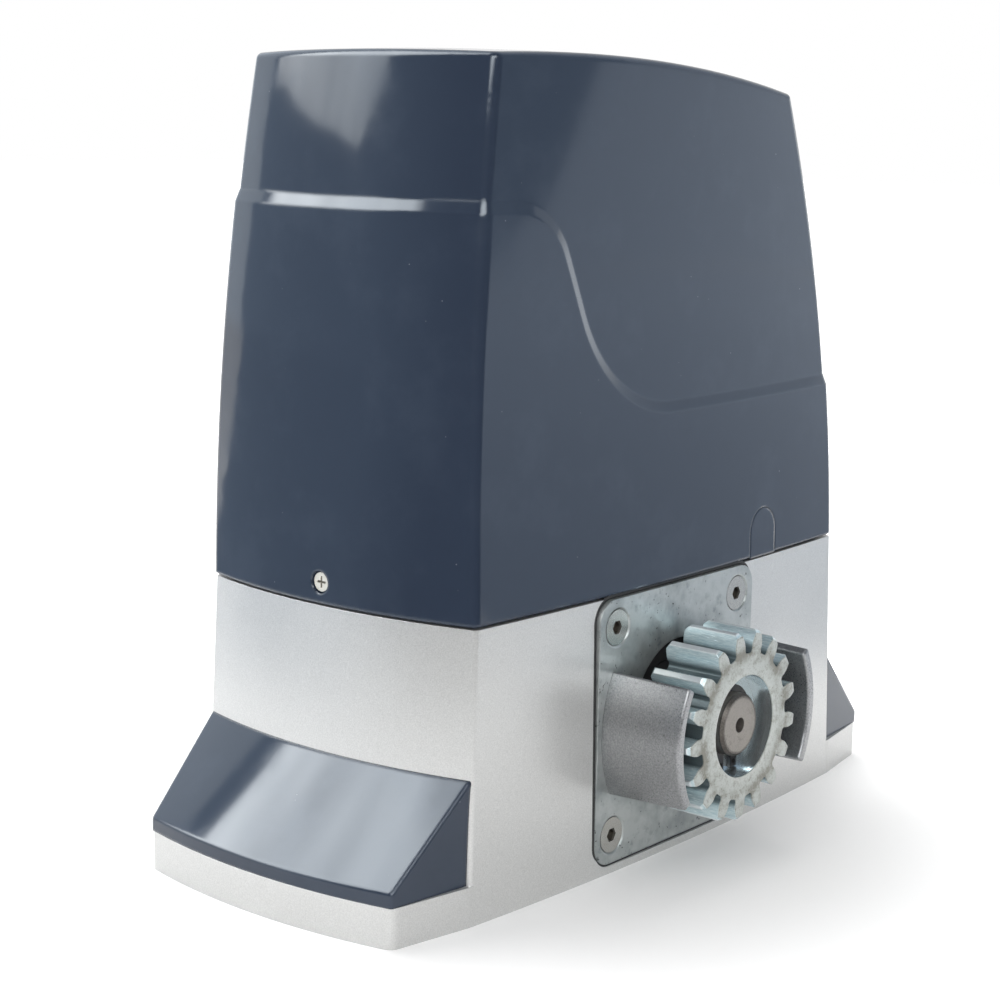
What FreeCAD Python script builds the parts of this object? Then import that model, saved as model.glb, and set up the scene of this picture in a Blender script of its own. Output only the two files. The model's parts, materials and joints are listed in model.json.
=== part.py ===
import FreeCAD, Part
import math
import os
import Sketcher

from FreeCAD import Placement, Rotation, Vector

# A sliding gate motor: a cast base that holds a worm gearbox, a motor standing on it, and a cover.
# Millimetres. +Z is up, the floor is Z = 0, and the origin is the middle of the four anchor slots.
# The output shaft runs along Y and carries the pinion on the -Y side. The motor stands at -X.

doc = FreeCAD.newDocument("GateMotor")
sheet = doc.addObject("Spreadsheet::Sheet", "Sizes")

sizes = {
    # base casting, as corner positions plus the bulge of each side between its corners
    "foot_x": 159.6, "foot_y": 62.2, "foot_bulge": 7.3, "foot_high": 15.3, "foot_floor": 6.0,
    "floor_x": 124.7, "floor_y": 68.6, "floor_bulge": 4.8,
    "seam_x": 121.2, "seam_y": 66.6, "seam_bulge": 4.6, "seam_z": 109.0,
    "end_bulge": 9.8, "base_round": 1.8, "foot_round": 4.5,
    "slot_x": 146.0, "slot_y": 40.0, "slot_r": 5.5, "slot_long": 26.0,
    # output axis and gearbox plate
    "axis_x": -2.5, "axis_z": 56.2, "plate_half": 52.5, "plate_round": 9.0, "plate_thick": 5.0,
    "plate_out": 72.2, "plate_gap": 0.6, "plate_hole_r": 30.0, "screw_pitch": 82.5,
    "screw_r": 4.0, "screw_head_r": 7.0, "sink_r": 7.8, "screw_hex": 5.0, "chamber_r": 44.0,
    # output shaft and pinion; places along the shaft are distances outward from the wheel's middle
    "shaft_r": 12.5, "shaft_out": 102.2, "shaft_in": 44.0, "shaft_bevel": 1.1, "centre_hole_r": 3.0,
    "pinion_module": 4.0, "pinion_teeth": 17, "pinion_rear": 79.8, "pinion_front": 104.4,
    "sink_bore_r": 20.3, "sink_floor": 95.2, "tooth_bevel": 1.6, "pinion_turn": 12.5, "tooth_thin": 0.5, "root_round": 1.5,
    "key_wide": 8.0, "key_top": 15.8, "fit_gap": 0.05,
    "guard_r": 50.0, "guard_thick": 4.2, "guard_front": 106.5, "guard_half_deg": 29.5, "guard_lean": 1.6,
    "guard_round": 1.0,
    # worm pair
    "worm_module": 2.5, "wheel_teeth": 30, "wheel_half": 10.0, "hub_half": 14.0, "hub_r": 29.0,
    "worm_pitch_r": 12.5, "worm_half": 22.0, "backlash": 0.24, "worm_bore_r": 17.0,
    # bearings, by bore radius, outside radius and width
    "bearing_r": 26.0, "bearing_wide": 15.0, "seal_r": 23.5, "sleeve_r": 15.0,
    # motor
    "rotor_r": 28.5, "air_gap": 0.5, "stator_r": 52.0, "stack_low": 142.0, "stack_high": 202.0,
    "rotor_shaft_r": 8.5, "rotor_top": 238.0,
    # cover
    # its walls lean and curve inward with height: each is lean * rise + curve * rise * rise
    "left_lean": 0.0176, "left_curve": -0.00044, "right_lean": -0.02195, "right_curve": -0.00086,
    "side_lean": -0.0198, "side_curve": -0.00006,
    "cover_left": 122.1, "cover_right": 121.3, "cover_side": 66.85,
    "cover_round": 3.0, "round_growth": 0.0135, "top_round": 2.5, "rim_bevel": 0.8,
    "cover_wall": 3.0, "cover_gap": 0.8, "ledge_deep": 1.2, "ledge_tall": 4.6,
    "ledge_high": 254.4, "ledge_low": 176.6, "curve_start": -98.0, "curve_end": -8.0,
    "curve_top_r": 30.0, "curve_foot_r": 57.0, "crown_z": 302.8, "crown_fall": 0.0676,
    "crown_long": 6.2, "crown_cross": 1.4,
    "end_screw_z": 118.0, "plug_left": 50.2, "plug_right": 69.9, "plug_top": 130.0,
    # foot covers
    "wedge_lip": 20.5, "wedge_top": 54.4, "wedge_wall": 2.5, "wedge_round": 1.4,
    # release lever on the back
    "lever_hinge_x": 30.0, "lever_left": -42.0, "lever_half": 17.0, "recess_floor": 54.5,
    "hinge_y": 65.5, "lever_face": 71.0, "pin_r": 3.0, "lock_r": 7.0,
}
for line, (alias, number) in enumerate(sizes.items(), start=1):
    sheet.set(f"A{line}", alias)
    sheet.set(f"B{line}", str(number))
    sheet.setAlias(f"B{line}", alias)
doc.recompute()

nodes = []


def size(alias):
    return float(getattr(sheet, alias))


def words(text):
    # a length is written as a sum of aliases and plain numbers, such as "shaft_out-12"
    parts = text.replace("-", " -").replace("+", " +").split()
    return [(-1 if part[0] == "-" else 1, part.lstrip("+-")) for part in parts]


def value(text):
    return sum(sign * (float(word) if word[0].isdigit() else size(word)) for sign, word in words(text))


def formula(text, flip=1):
    terms = []
    for sign, word in words(text):
        name = word if word[0].isdigit() else "Sizes." + word
        terms.append(("-" if sign * flip < 0 else "+") + name)
    return "0" + "".join(terms)


def add_node(kind, label):
    piece = doc.addObject(kind, label)
    piece.Label = label
    nodes.append(piece)
    return piece


def put(piece, spot, turn=None):
    piece.Placement = Placement(Vector(*[value(text) for text in spot]), turn or Rotation())
    for side, text in zip("xyz", spot):
        piece.setExpression("Placement.Base." + side, formula(text))


def sketch_on(body, role, name):
    sketch = body.newObject("Sketcher::SketchObject", name)
    plane = [item for item in body.Origin.OriginFeatures if item.Role == role][0]
    sketch.AttachmentSupport = [(plane, "")]
    sketch.MapMode = "FlatFace"
    return sketch


def hold(sketch, kind, line, end, text):
    # ties one coordinate of a line's end to the sheet; a zero lies on the axis
    number = value(text)
    axis = {"DistanceX": -2, "DistanceY": -1}[kind]
    if abs(number) < 1e-9:
        sketch.addConstraint(Sketcher.Constraint("PointOnObject", line, end, axis))
        return
    if number > 0:
        index = sketch.addConstraint(Sketcher.Constraint(kind, -1, 1, line, end, number))
        sketch.setExpression(f"Constraints[{index}]", formula(text))
    else:
        index = sketch.addConstraint(Sketcher.Constraint(kind, line, end, -1, 1, -number))
        sketch.setExpression(f"Constraints[{index}]", formula(text, flip=-1))


def draw_outline(sketch, corners):
    first = sketch.GeometryCount
    spots = [Vector(value(across), value(up), 0) for across, up in corners]
    count = len(spots)
    for index in range(count):
        sketch.addGeometry(Part.LineSegment(spots[index], spots[(index + 1) % count]), False)
    for index in range(count):
        after = first + (index + 1) % count
        sketch.addConstraint(Sketcher.Constraint("Coincident", first + index, 2, after, 1))
    for index, (across, up) in enumerate(corners):
        hold(sketch, "DistanceX", first + index, 1, across)
        hold(sketch, "DistanceY", first + index, 1, up)


def draw_circle(sketch, across, up, radius):
    spot = Vector(value(across), value(up), 0)
    ring = sketch.addGeometry(Part.Circle(spot, Vector(0, 0, 1), value(radius)), False)
    index = sketch.addConstraint(Sketcher.Constraint("Radius", ring, value(radius)))
    sketch.setExpression(f"Constraints[{index}]", formula(radius))
    hold(sketch, "DistanceX", ring, 3, across)
    hold(sketch, "DistanceY", ring, 3, up)


def turned(label, spot, corners, turn=None):
    # a body of revolution about its own Z axis; corners are (radius, height) pairs
    body = add_node("PartDesign::Body", label)
    sketch = sketch_on(body, "XZ_Plane", label + "_outline")
    draw_outline(sketch, corners)
    spin = body.newObject("PartDesign::Revolution", label + "_turn")
    spin.Profile = sketch
    spin.ReferenceAxis = (sketch, ["V_Axis"])
    spin.Angle = 360
    body.Tip = spin
    put(body, spot, turn)
    return body


def padded(label, spot, corners, tall, holes=(), turn=None):
    # a flat piece of one thickness; holes are (across, up, radius)
    body = add_node("PartDesign::Body", label)
    sketch = sketch_on(body, "XY_Plane", label + "_outline")
    if len(corners) == 1:
        draw_circle(sketch, *corners[0])
    else:
        draw_outline(sketch, corners)
    for hole in holes:
        draw_circle(sketch, *hole)
    pad = body.newObject("PartDesign::Pad", label + "_pad")
    pad.Profile = sketch
    pad.setExpression("Length", formula(tall))
    body.Tip = pad
    put(body, spot, turn)
    return body


def fixed(label, shape):
    piece = add_node("Part::Feature", label)
    piece.Shape = shape
    return piece


def box(low, high):
    sides = [high[axis] - low[axis] for axis in range(3)]
    return Part.makeBox(sides[0], sides[1], sides[2], Vector(*low))


def rod(radius, start, end):
    run = Vector(*end) - Vector(*start)
    return Part.makeCylinder(radius, run.Length, Vector(*start), run)


def prism(points, direction):
    # points are a closed outline in space
    spots = [Vector(*point) for point in points]
    return Part.Face(Part.makePolygon(spots + spots[:1])).extrude(Vector(*direction))


outward = Rotation(Vector(1, 0, 0), 90)      # local Z runs along -Y, out of the gearbox
axis_spot = ("axis_x", "0", "axis_z")
motor_x = size("axis_x") - size("worm_pitch_r") - size("worm_module") * size("wheel_teeth") / 2
motor_spot = ("axis_x-50", "0", "0")


# ---------------------------------------------------------------- base and cover outlines

def plan(left, right, half_y, end_bulge, side_bulge, height, corner):
    # a four-sided outline with bowed sides and rounded corners
    spots = [Vector(-left, -half_y, height), Vector(right, -half_y, height),
             Vector(right, half_y, height), Vector(-left, half_y, height)]
    middle = (right - left) / 2
    bows = [Vector(middle, -half_y - side_bulge, height), Vector(right + end_bulge, 0, height),
            Vector(middle, half_y + side_bulge, height), Vector(-left - end_bulge, 0, height)]
    sides = [Part.Arc(spots[i], bows[i], spots[(i + 1) % 4]).toShape() for i in range(4)]
    sharp = Part.Wire(sides)
    return sharp.makeOffset2D(-corner).makeOffset2D(corner)


def side_wall(height):
    # how far the casting's corners stand from its middle, along Y
    return size("floor_y") + (size("seam_y") - size("floor_y")) * height / size("seam_z")


def base_outline(height, inset=0.0):
    share = height / size("seam_z")
    half_x = size("floor_x") + (size("seam_x") - size("floor_x")) * share - inset
    half_y = side_wall(height) - inset
    bulge = size("floor_bulge") + (size("seam_bulge") - size("floor_bulge")) * share
    corner = max(size("base_round") - inset, 1.0)
    return plan(half_x, half_x, half_y, size("end_bulge"), bulge, height, corner)


def cover_outline(height, inset=0.0):
    rise = height - size("seam_z")
    left = size("cover_left") + size("left_lean") * rise + size("left_curve") * rise ** 2
    right = size("cover_right") + size("right_lean") * rise + size("right_curve") * rise ** 2
    half_y = size("cover_side") + size("side_lean") * rise + size("side_curve") * rise ** 2
    corner = max(size("cover_round") + size("round_growth") * rise - inset, 1.0)
    return plan(left - inset, right - inset, half_y - inset, size("end_bulge"), size("seam_bulge"),
                height, corner)


def cover_body(inset, low):
    steps = [low, 150.0, 200.0, 250.0, 290.0, 325.0]
    return Part.makeLoft([cover_outline(step, inset) for step in steps], True, False)


def crown_body(inset):
    # everything under the arched top, lowered by inset
    sections = []
    for across in (-140.0, -70.0, 0.0, 70.0, 140.0):
        ridge = (size("crown_z") - size("crown_fall") * across + size("crown_cross")
                 + size("crown_long") * (1 - (across / 105.0) ** 2) - inset)
        edge = ridge - size("crown_cross") * (80.0 / 58.0) ** 2
        low = Vector(across, -80, 60)
        arc = Part.Arc(Vector(across, 80, edge), Vector(across, 0, ridge), Vector(across, -80, edge))
        far = Vector(across, 80, 60)
        sections.append(Part.Wire([Part.LineSegment(low, far).toShape(),
                                   Part.LineSegment(far, Vector(across, 80, edge)).toShape(),
                                   arc.toShape(),
                                   Part.LineSegment(Vector(across, -80, edge), low).toShape()]))
    return Part.makeLoft(sections, True, False)


def ledge_line(lift):
    # two arcs and the straight line that touches both, seen along Y
    start_r = size("curve_top_r")
    end_r = size("curve_foot_r")
    start = Vector(size("curve_start"), 0, size("ledge_high") + lift)
    end = Vector(size("curve_end"), 0, size("ledge_low") + lift)
    upper = start - Vector(0, 0, start_r)
    lower = end + Vector(0, 0, end_r)
    span = lower - upper
    turn = math.asin((start_r + end_r) / span.Length)
    slope = math.atan2(span.z, span.x) - turn
    side = Vector(-math.sin(slope), 0, math.cos(slope))
    half = Vector(-math.sin(slope / 2), 0, math.cos(slope / 2))
    leave = upper + side * start_r
    meet = lower - side * end_r
    far_left = Vector(-150, 0, start.z)
    far_right = Vector(150, 0, end.z)
    return [Part.LineSegment(far_left, start).toShape(),
            Part.Arc(start, upper + half * start_r, leave).toShape(),
            Part.LineSegment(leave, meet).toShape(),
            Part.Arc(meet, lower - half * end_r, end).toShape(),
            Part.LineSegment(end, far_right).toShape(),
            Part.LineSegment(far_right, Vector(150, 0, 60)).toShape(),
            Part.LineSegment(Vector(150, 0, 60), Vector(-150, 0, 60)).toShape(),
            Part.LineSegment(Vector(-150, 0, 60), far_left).toShape()]


def below_ledge(lift):
    face = Part.Face(Part.Wire(ledge_line(lift)))
    face.translate(Vector(0, -100, 0))
    return face.extrude(Vector(0, 200, 0))


def face_middle_normal(face):
    low_u, high_u, low_v, high_v = face.ParameterRange
    return face.normalAt((low_u + high_u) / 2, (low_v + high_v) / 2)


def top_edges(shape):
    # the edges between the faces that look up and the walls round them
    faces = [face for face in shape.Faces if face_middle_normal(face).z > 0.3]
    edges = [edge for face in faces for edge in face.Edges]
    return [edge for edge in edges if sum(edge.isSame(other) for other in edges) == 1]


def cover_outside():
    # the lower part stands proud of the upper and slopes back to it along the ledge
    bevel = size("rim_bevel")
    edge_z = size("seam_z") + size("cover_gap")
    low = edge_z + bevel
    tall = size("ledge_tall")
    deep = size("ledge_deep")
    upper = cover_body(deep, low).common(crown_body(0))
    upper = upper.makeFillet(size("top_round"), top_edges(upper))
    lower = cover_body(0, low).common(below_ledge(tall))
    lower = lower.makeChamfer(tall, deep + 0.1, top_edges(lower))
    rim = Part.makeLoft([cover_outline(edge_z, bevel), cover_outline(low)], True, True)
    return upper.fuse([lower, rim]).removeSplitter()


def make_cover():
    shell = cover_outside()
    low = size("seam_z") + size("cover_gap")
    screw_z = size("end_screw_z")
    inside = cover_body(size("cover_wall") + size("ledge_deep"), low - 5)
    shell = shell.cut(inside.common(crown_body(size("cover_wall"))))
    shell = shell.cut(plug_shape(0.25))
    for side in (-1, 1):
        shell = shell.cut(rod(4.2, (side * 140, 0, screw_z), (side * 129.6, 0, screw_z)))
        shell = shell.cut(rod(2.3, (side * 140, 0, screw_z), (side * 100, 0, screw_z)))
    fixed("cover", shell)


def plug_shape(gap):
    # an arch-topped tongue that closes the switch slot in the cover's lower edge
    left = size("plug_left") - gap
    right = size("plug_right") + gap
    radius = (right - left) / 2
    middle = (right + left) / 2
    spring = size("plug_top") + gap - radius
    low = size("seam_z") - 5 if gap else size("seam_z") + size("cover_gap")
    spots = [Vector(left, -90, low), Vector(left, -90, spring), Vector(middle, -90, spring + radius),
             Vector(right, -90, spring), Vector(right, -90, low)]
    wire = Part.Wire([Part.LineSegment(spots[0], spots[1]).toShape(),
                      Part.Arc(spots[1], spots[2], spots[3]).toShape(),
                      Part.LineSegment(spots[3], spots[4]).toShape(),
                      Part.LineSegment(spots[4], spots[0]).toShape()])
    return Part.Face(wire).extrude(Vector(0, 60, 0))


def make_slot_plug():
    low = size("seam_z") - 1
    outer = cover_body(0, low)
    inner = cover_body(size("cover_wall") + size("ledge_deep"), low - 1)
    fixed("limit_slot_plug", outer.cut(inner).common(plug_shape(0)))


def make_end_screws():
    screws = []
    for side in (-1, 1):
        head = rod(3.6, (side * 129.6, 0, size("end_screw_z")), (side * 131.0, 0, size("end_screw_z")))
        shank = rod(1.9, (side * 121.5, 0, size("end_screw_z")), (side * 129.6, 0, size("end_screw_z")))
        across = box((side * 131.0 - 1, -2.2, size("end_screw_z") - 0.45),
                     (side * 131.0 + 1, 2.2, size("end_screw_z") + 0.45))
        upright = box((side * 131.0 - 1, -0.45, size("end_screw_z") - 2.2),
                      (side * 131.0 + 1, 0.45, size("end_screw_z") + 2.2))
        screws.append(head.fuse(shank).removeSplitter().cut(across).cut(upright))
    fixed("cover_screws", Part.makeCompound(screws))


# ---------------------------------------------------------------- base casting

def foot_outline(side, inset=0.0):
    # the foot narrows outward and ends in a bowed front edge
    tip_x = size("foot_x") - inset
    tip_y = size("foot_y") - inset
    root_y = size("floor_y") - inset
    spots = [Vector(side * 116, -root_y + 0.4, 0), Vector(side * size("floor_x"), -root_y, 0),
             Vector(side * tip_x, -tip_y, 0), Vector(side * (tip_x + size("foot_bulge")), 0, 0),
             Vector(side * tip_x, tip_y, 0), Vector(side * size("floor_x"), root_y, 0),
             Vector(side * 116, root_y - 0.4, 0)]
    return Part.Wire([Part.LineSegment(spots[0], spots[1]).toShape(),
                      Part.LineSegment(spots[1], spots[2]).toShape(),
                      Part.Arc(spots[2], spots[3], spots[4]).toShape(),
                      Part.LineSegment(spots[4], spots[5]).toShape(),
                      Part.LineSegment(spots[5], spots[6]).toShape(),
                      Part.LineSegment(spots[6], spots[0]).toShape()])


def foot_prism(side, low, high, inset=0.0):
    face = Part.Face(foot_outline(side, inset))
    face.translate(Vector(0, 0, low))
    block = face.extrude(Vector(0, 0, high - low))
    tips = [edge for edge in block.Edges
            if abs(edge.Vertexes[0].X - edge.Vertexes[-1].X) < 0.01 and abs(edge.CenterOfMass.x) > 130
            and edge.Length < high - low + 0.1]
    return block.makeFillet(size("foot_round"), tips)


def base_block():
    return Part.makeLoft([base_outline(0), base_outline(size("seam_z"))], True, True)


def slot_cut(x, y):
    reach = size("slot_long") / 2 - size("slot_r")
    left = rod(size("slot_r"), (x - reach, y, -1), (x - reach, y, 20))
    right = rod(size("slot_r"), (x + reach, y, -1), (x + reach, y, 20))
    return left.fuse(right).fuse(box((x - reach, y - size("slot_r"), -1), (x + reach, y + size("slot_r"), 20)))


def rounded_block(low, high, radius, axis):
    # a box whose four edges along the named axis are rounded
    block = box(low, high)
    along = {"x": Vector(1, 0, 0), "y": Vector(0, 1, 0), "z": Vector(0, 0, 1)}[axis]
    edges = [edge for edge in block.Edges if abs(edge.tangentAt(edge.FirstParameter).dot(along)) > 0.99]
    return block.makeFillet(radius, edges)


def plate_screw_spots():
    half = size("screw_pitch") / 2
    return [(size("axis_x") + across * half, size("axis_z") + up * half) for across in (-1, 1) for up in (-1, 1)]


def make_base():
    axis_x = size("axis_x")
    axis_z = size("axis_z")
    back = -(size("plate_out") - size("plate_thick"))
    block = base_block()
    for side in (-1, 1):
        foot = foot_prism(side, 0, size("foot_high"))
        well = foot_prism(side, size("foot_floor"), 20, 4.0).cut(base_block())
        block = block.fuse(foot).cut(well)
    half = size("plate_half") + size("plate_gap")
    hollows = [
        # recess for the gearbox plate
        rounded_block((axis_x - half, -100, axis_z - half), (axis_x + half, back, axis_z + half),
                      size("plate_round"), "y"),
        # wheel chamber, rear bearing seat and the hole behind it
        rod(size("chamber_r"), (axis_x, -100, axis_z), (axis_x, 24, axis_z)),
        rod(size("bearing_r") + 0.03, (axis_x, 20, axis_z), (axis_x, 39, axis_z)),
        rod(14.0, (axis_x, 38, axis_z), (axis_x, 46, axis_z)),
        rod(4.6, (axis_x, 40, axis_z), (axis_x, 60, axis_z)),
        # worm bore with its lower bearing seat, and the port for the motor
        rod(size("worm_bore_r") + 0.53, (motor_x, 0, 12), (motor_x, 0, 101)),
        rod(30.0, (motor_x, 0, 101), (motor_x, 0, 120)),
        # oil filling hole
        rod(5.0, (20, -30, 86), (20, -30, 120)),
        # wiring chamber on the right, open at the top, with the cable entry in its floor
        rounded_block((54, -58, 5), (113, 58, 120), 8.0, "z"),
        rod(15.0, (84, 0, -1), (84, 0, 6)),
        # pockets from below on the left, either side of a rib
        rounded_block((-116, 3, -1), (-76, 60, 100), 6.0, "z"),
        rounded_block((-116, -60, -1), (-76, -3, 100), 6.0, "z"),
        # pocket from below behind the gear chamber
        rounded_block((-44, 44, -1), (44, 62, 32), 5.0, "z"),
        # recess for the release lever in the back
        rounded_block((size("lever_left") - 2, size("recess_floor"), axis_z - size("lever_half") - 2),
                      (size("lever_hinge_x") + 8, 100, axis_z + size("lever_half") + 2), 4.0, "y"),
        rod(size("pin_r") + 0.05, (size("lever_hinge_x"), size("hinge_y"), axis_z - 28),
            (size("lever_hinge_x"), size("hinge_y"), axis_z + 28)),
        # keeper slot for the lock's tongue, tall enough for its swing
        box((size("lever_left") - 12, size("recess_floor") + 0.2, axis_z - 5),
            (size("lever_left"), size("recess_floor") + 3.8, axis_z + 18)),
    ]
    for x in (-size("slot_x"), size("slot_x")):
        for y in (-size("slot_y"), size("slot_y")):
            hollows.append(slot_cut(x, y))
    for x, z in plate_screw_spots():
        hollows.append(rod(size("screw_r"), (x, -100, z), (x, back + 18, z)))
    for hollow in hollows:
        block = block.cut(hollow)
    for side in (-1, 1):
        inner, outer = sorted((side * 120.0, side * 125.4))
        lug = box((inner, -9, size("seam_z") - 1), (outer, 9, 127))
        lug = lug.cut(rod(1.95, (side * 110, 0, size("end_screw_z")), (side * 135, 0, size("end_screw_z"))))
        block = block.fuse(lug)
    fixed("base_housing", block.removeSplitter())


def make_foot_covers():
    # each is a hollow wedge: a low lip round the foot and a slope up to the end wall
    for side, label in ((-1, "left_foot_cover"), (1, "right_foot_cover")):
        wedge = wedge_body(side, 0.0)
        wedge = wedge.makeFillet(size("wedge_round"), slope_edges(wedge)).cut(base_block())
        inner = wedge_body(side, size("wedge_wall")).cut(base_block())
        fixed(label, wedge.cut(inner).cut(foot_prism(side, -1, size("foot_high"))))


def slope_edges(wedge):
    # the slope's front and side edges, and the upright corners of the lip
    found = []
    for edge in wedge.Edges:
        box_of = edge.BoundBox
        on_wall = min(abs(box_of.XMin), abs(box_of.XMax)) > size("floor_x") - 8
        if on_wall and box_of.ZMax > size("foot_high") + 0.1:
            found.append(edge)
    return found


def wedge_body(side, inset):
    # three plan outlines joined by ruled faces: the lip's foot, its top and the head of the slope
    low = size("foot_high") if inset == 0 else size("foot_high") - 1
    wall = size("floor_x") - 2.0
    bands = [(low, 0.0), (size("wedge_lip") - inset, 0.0), (size("wedge_top") - inset * 1.6, 1.0)]
    wires = []
    for height, share in bands:
        # the sides lie flush with the casting, a hair inside it where they meet
        root_y = side_wall(height) - 0.35 - inset
        tip_y = size("foot_y") - inset
        reach = size("foot_x") - inset + (wall + 0.5 - size("foot_x")) * share
        half_y = tip_y + (root_y - 0.2 - tip_y) * share
        bulge = size("foot_bulge") + (size("end_bulge") - size("foot_bulge")) * share
        spots = [Vector(side * (wall - 8), -root_y, height), Vector(side * reach, -half_y, height),
                 Vector(side * (reach + bulge), 0, height), Vector(side * reach, half_y, height),
                 Vector(side * (wall - 8), root_y, height)]
        wires.append(Part.Wire([Part.LineSegment(spots[0], spots[1]).toShape(),
                                Part.Arc(spots[1], spots[2], spots[3]).toShape(),
                                Part.LineSegment(spots[3], spots[4]).toShape(),
                                Part.LineSegment(spots[4], spots[0]).toShape()]))
    return Part.makeLoft(wires, True, True)


# ---------------------------------------------------------------- gearbox front

def make_plate():
    half = size("plate_half")
    inner = half - size("plate_round")
    back = -(size("plate_out") - size("plate_thick"))
    plate = rounded_block((size("axis_x") - half, -size("plate_out"), size("axis_z") - half),
                          (size("axis_x") + half, back, size("axis_z") + half), size("plate_round"), "y")
    plate = plate.cut(rod(size("plate_hole_r"), (size("axis_x"), -100, size("axis_z")),
                          (size("axis_x"), -50, size("axis_z"))))
    for x, z in plate_screw_spots():
        plate = plate.cut(rod(size("screw_r") + 0.3, (x, -100, z), (x, -50, z)))
        sink = Part.makeCone(size("sink_r"), size("screw_r"), size("sink_r") - size("screw_r"),
                             Vector(x, -size("plate_out"), z), Vector(0, 1, 0))
        plate = plate.cut(sink)
    fixed("gearbox_plate", plate)


def make_plate_screws():
    screws = []
    for x, z in plate_screw_spots():
        front = -size("plate_out") + 0.4
        head = Part.makeCone(size("screw_head_r"), size("screw_r") - 0.1, size("screw_head_r") - size("screw_r"),
                             Vector(x, front, z), Vector(0, 1, 0))
        shank = rod(size("screw_r") - 0.1, (x, front + 2, z), (x, front + 20, z))
        socket = hexagon(size("screw_hex") / 2, 3.0)
        socket.rotate(Vector(0, 0, 0), Vector(1, 0, 0), 90)
        socket.translate(Vector(x, front + 2.5, z))
        screws.append(head.fuse(shank).removeSplitter().cut(socket))
    fixed("plate_screws", Part.makeCompound(screws))


def hexagon(half_flat, tall):
    reach = half_flat / math.cos(math.pi / 6)
    spots = [(reach * math.cos(k * math.pi / 3), reach * math.sin(k * math.pi / 3), 0) for k in range(6)]
    return prism(spots, (0, 0, tall))


def make_guards():
    # two shields curved about the output axis, leaning slightly inward as they run forward
    low = -size("plate_out")
    high = -size("guard_front")
    outer_r = size("guard_r")
    inner_r = outer_r - size("guard_thick")
    foot = Vector(size("axis_x"), low, size("axis_z"))
    outer = Part.makeCone(outer_r, outer_r - size("guard_lean"), low - high, foot, Vector(0, -1, 0))
    inner = Part.makeCone(inner_r, inner_r - size("guard_lean"), low - high, foot, Vector(0, -1, 0))
    ring = outer.cut(inner)
    reach = 80.0
    rise = reach * math.tan(math.radians(size("guard_half_deg")))
    for side, label in ((-1, "left_gear_guard"), (1, "right_gear_guard")):
        across = size("axis_x") + side * reach
        spots = [(size("axis_x"), -60, size("axis_z")), (across, -60, size("axis_z") + rise),
                 (across, -60, size("axis_z") - rise)]
        guard = ring.common(prism(spots, (0, -60, 0)))
        free = [edge for edge in guard.Edges if not all(abs(vertex.Y - low) < 0.01 for vertex in edge.Vertexes)]
        fixed(label, guard.makeFillet(size("guard_round"), free))


def make_gearbox_front():
    turned("bearing_carrier", axis_spot,
           [("plate_hole_r+8", "44"), ("bearing_r+0.03", "44"), ("bearing_r+0.03", "59.5"),
            ("seal_r+0.03", "59.5"), ("seal_r+0.03", "67.2"), ("chamber_r-0.05", "67.2"),
            ("chamber_r-0.05", "59"), ("plate_hole_r+8", "59")], outward)
    turned("shaft_seal", axis_spot,
           [("sleeve_r+0.1", "60.2"), ("seal_r", "60.2"), ("seal_r", "67"), ("seal_r-3", "67"),
            ("seal_r-4.5", "65.6"), ("sleeve_r+0.1", "66.4")], outward)


def bearing(label, spot, bore, outside, low, wide, turn=None):
    # outer ring, shielded face set back, inner ring: one section turned about the axis
    groove = "0.6"
    corners = [(bore, low), (outside, low), (outside, low + "+" + wide), (outside + "-2.6", low + "+" + wide),
               (outside + "-2.8", low + "+" + wide + "-" + groove), (bore + "+2.8", low + "+" + wide + "-" + groove),
               (bore + "+2.6", low + "+" + wide), (bore, low + "+" + wide)]
    return turned(label, spot, corners, turn)


def make_bearings():
    bearing("front_shaft_bearing", axis_spot, "shaft_r+fit_gap", "bearing_r", "44.2", "bearing_wide", outward)
    bearing("rear_shaft_bearing", ("axis_x", "0", "axis_z"), "shaft_r+fit_gap", "bearing_r",
            "24", "bearing_wide", Rotation(Vector(1, 0, 0), -90))
    bearing("worm_lower_bearing", motor_spot, "7.5+fit_gap", "worm_bore_r+0.5", "12", "11")
    bearing("motor_lower_bearing", motor_spot, "10+fit_gap", "23.5", "112", "14")
    bearing("motor_upper_bearing", motor_spot, "7.5+fit_gap", "17.5", "222", "11")


# ---------------------------------------------------------------- output shaft and gears

def toothed_outline(module, teeth, tip_r, root_r, thinning, start_deg):
    # involute flanks at a 20 degree pressure angle, closed by tip and root arcs
    pitch_r = module * teeth / 2
    base_r = pitch_r * math.cos(math.radians(20))
    low_r = max(base_r, root_r + 0.05)

    def involute(radius):
        slant = math.acos(min(1.0, base_r / radius))
        return math.tan(slant) - slant

    half_pitch = math.pi / (2 * teeth) - thinning / (2 * pitch_r) + involute(pitch_r)
    radii = [low_r + (tip_r - low_r) * step / 4 for step in range(5)]

    def spot(radius, angle):
        return Vector(radius * math.cos(angle), radius * math.sin(angle), 0)

    edges = []
    step_angle = 2 * math.pi / teeth
    for tooth in range(teeth):
        middle = math.radians(start_deg) + tooth * step_angle
        rising = [spot(radius, middle - half_pitch + involute(radius)) for radius in radii]
        falling = [spot(radius, middle + half_pitch - involute(radius)) for radius in reversed(radii)]
        root_in = spot(root_r, middle - half_pitch)
        root_out = spot(root_r, middle + half_pitch)
        next_in = spot(root_r, middle + step_angle - half_pitch)
        for points in (rising, falling):
            curve = Part.BSplineCurve()
            curve.interpolate(points)
            if points is rising:
                edges.append(Part.LineSegment(root_in, rising[0]).toShape())
                edges.append(curve.toShape())
                edges.append(Part.Arc(rising[-1], spot(tip_r, middle), falling[0]).toShape())
            else:
                edges.append(curve.toShape())
                edges.append(Part.LineSegment(falling[-1], root_out).toShape())
        edges.append(Part.Arc(root_out, spot(root_r, middle + step_angle / 2), next_in).toShape())
    return Part.Wire(edges)


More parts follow.
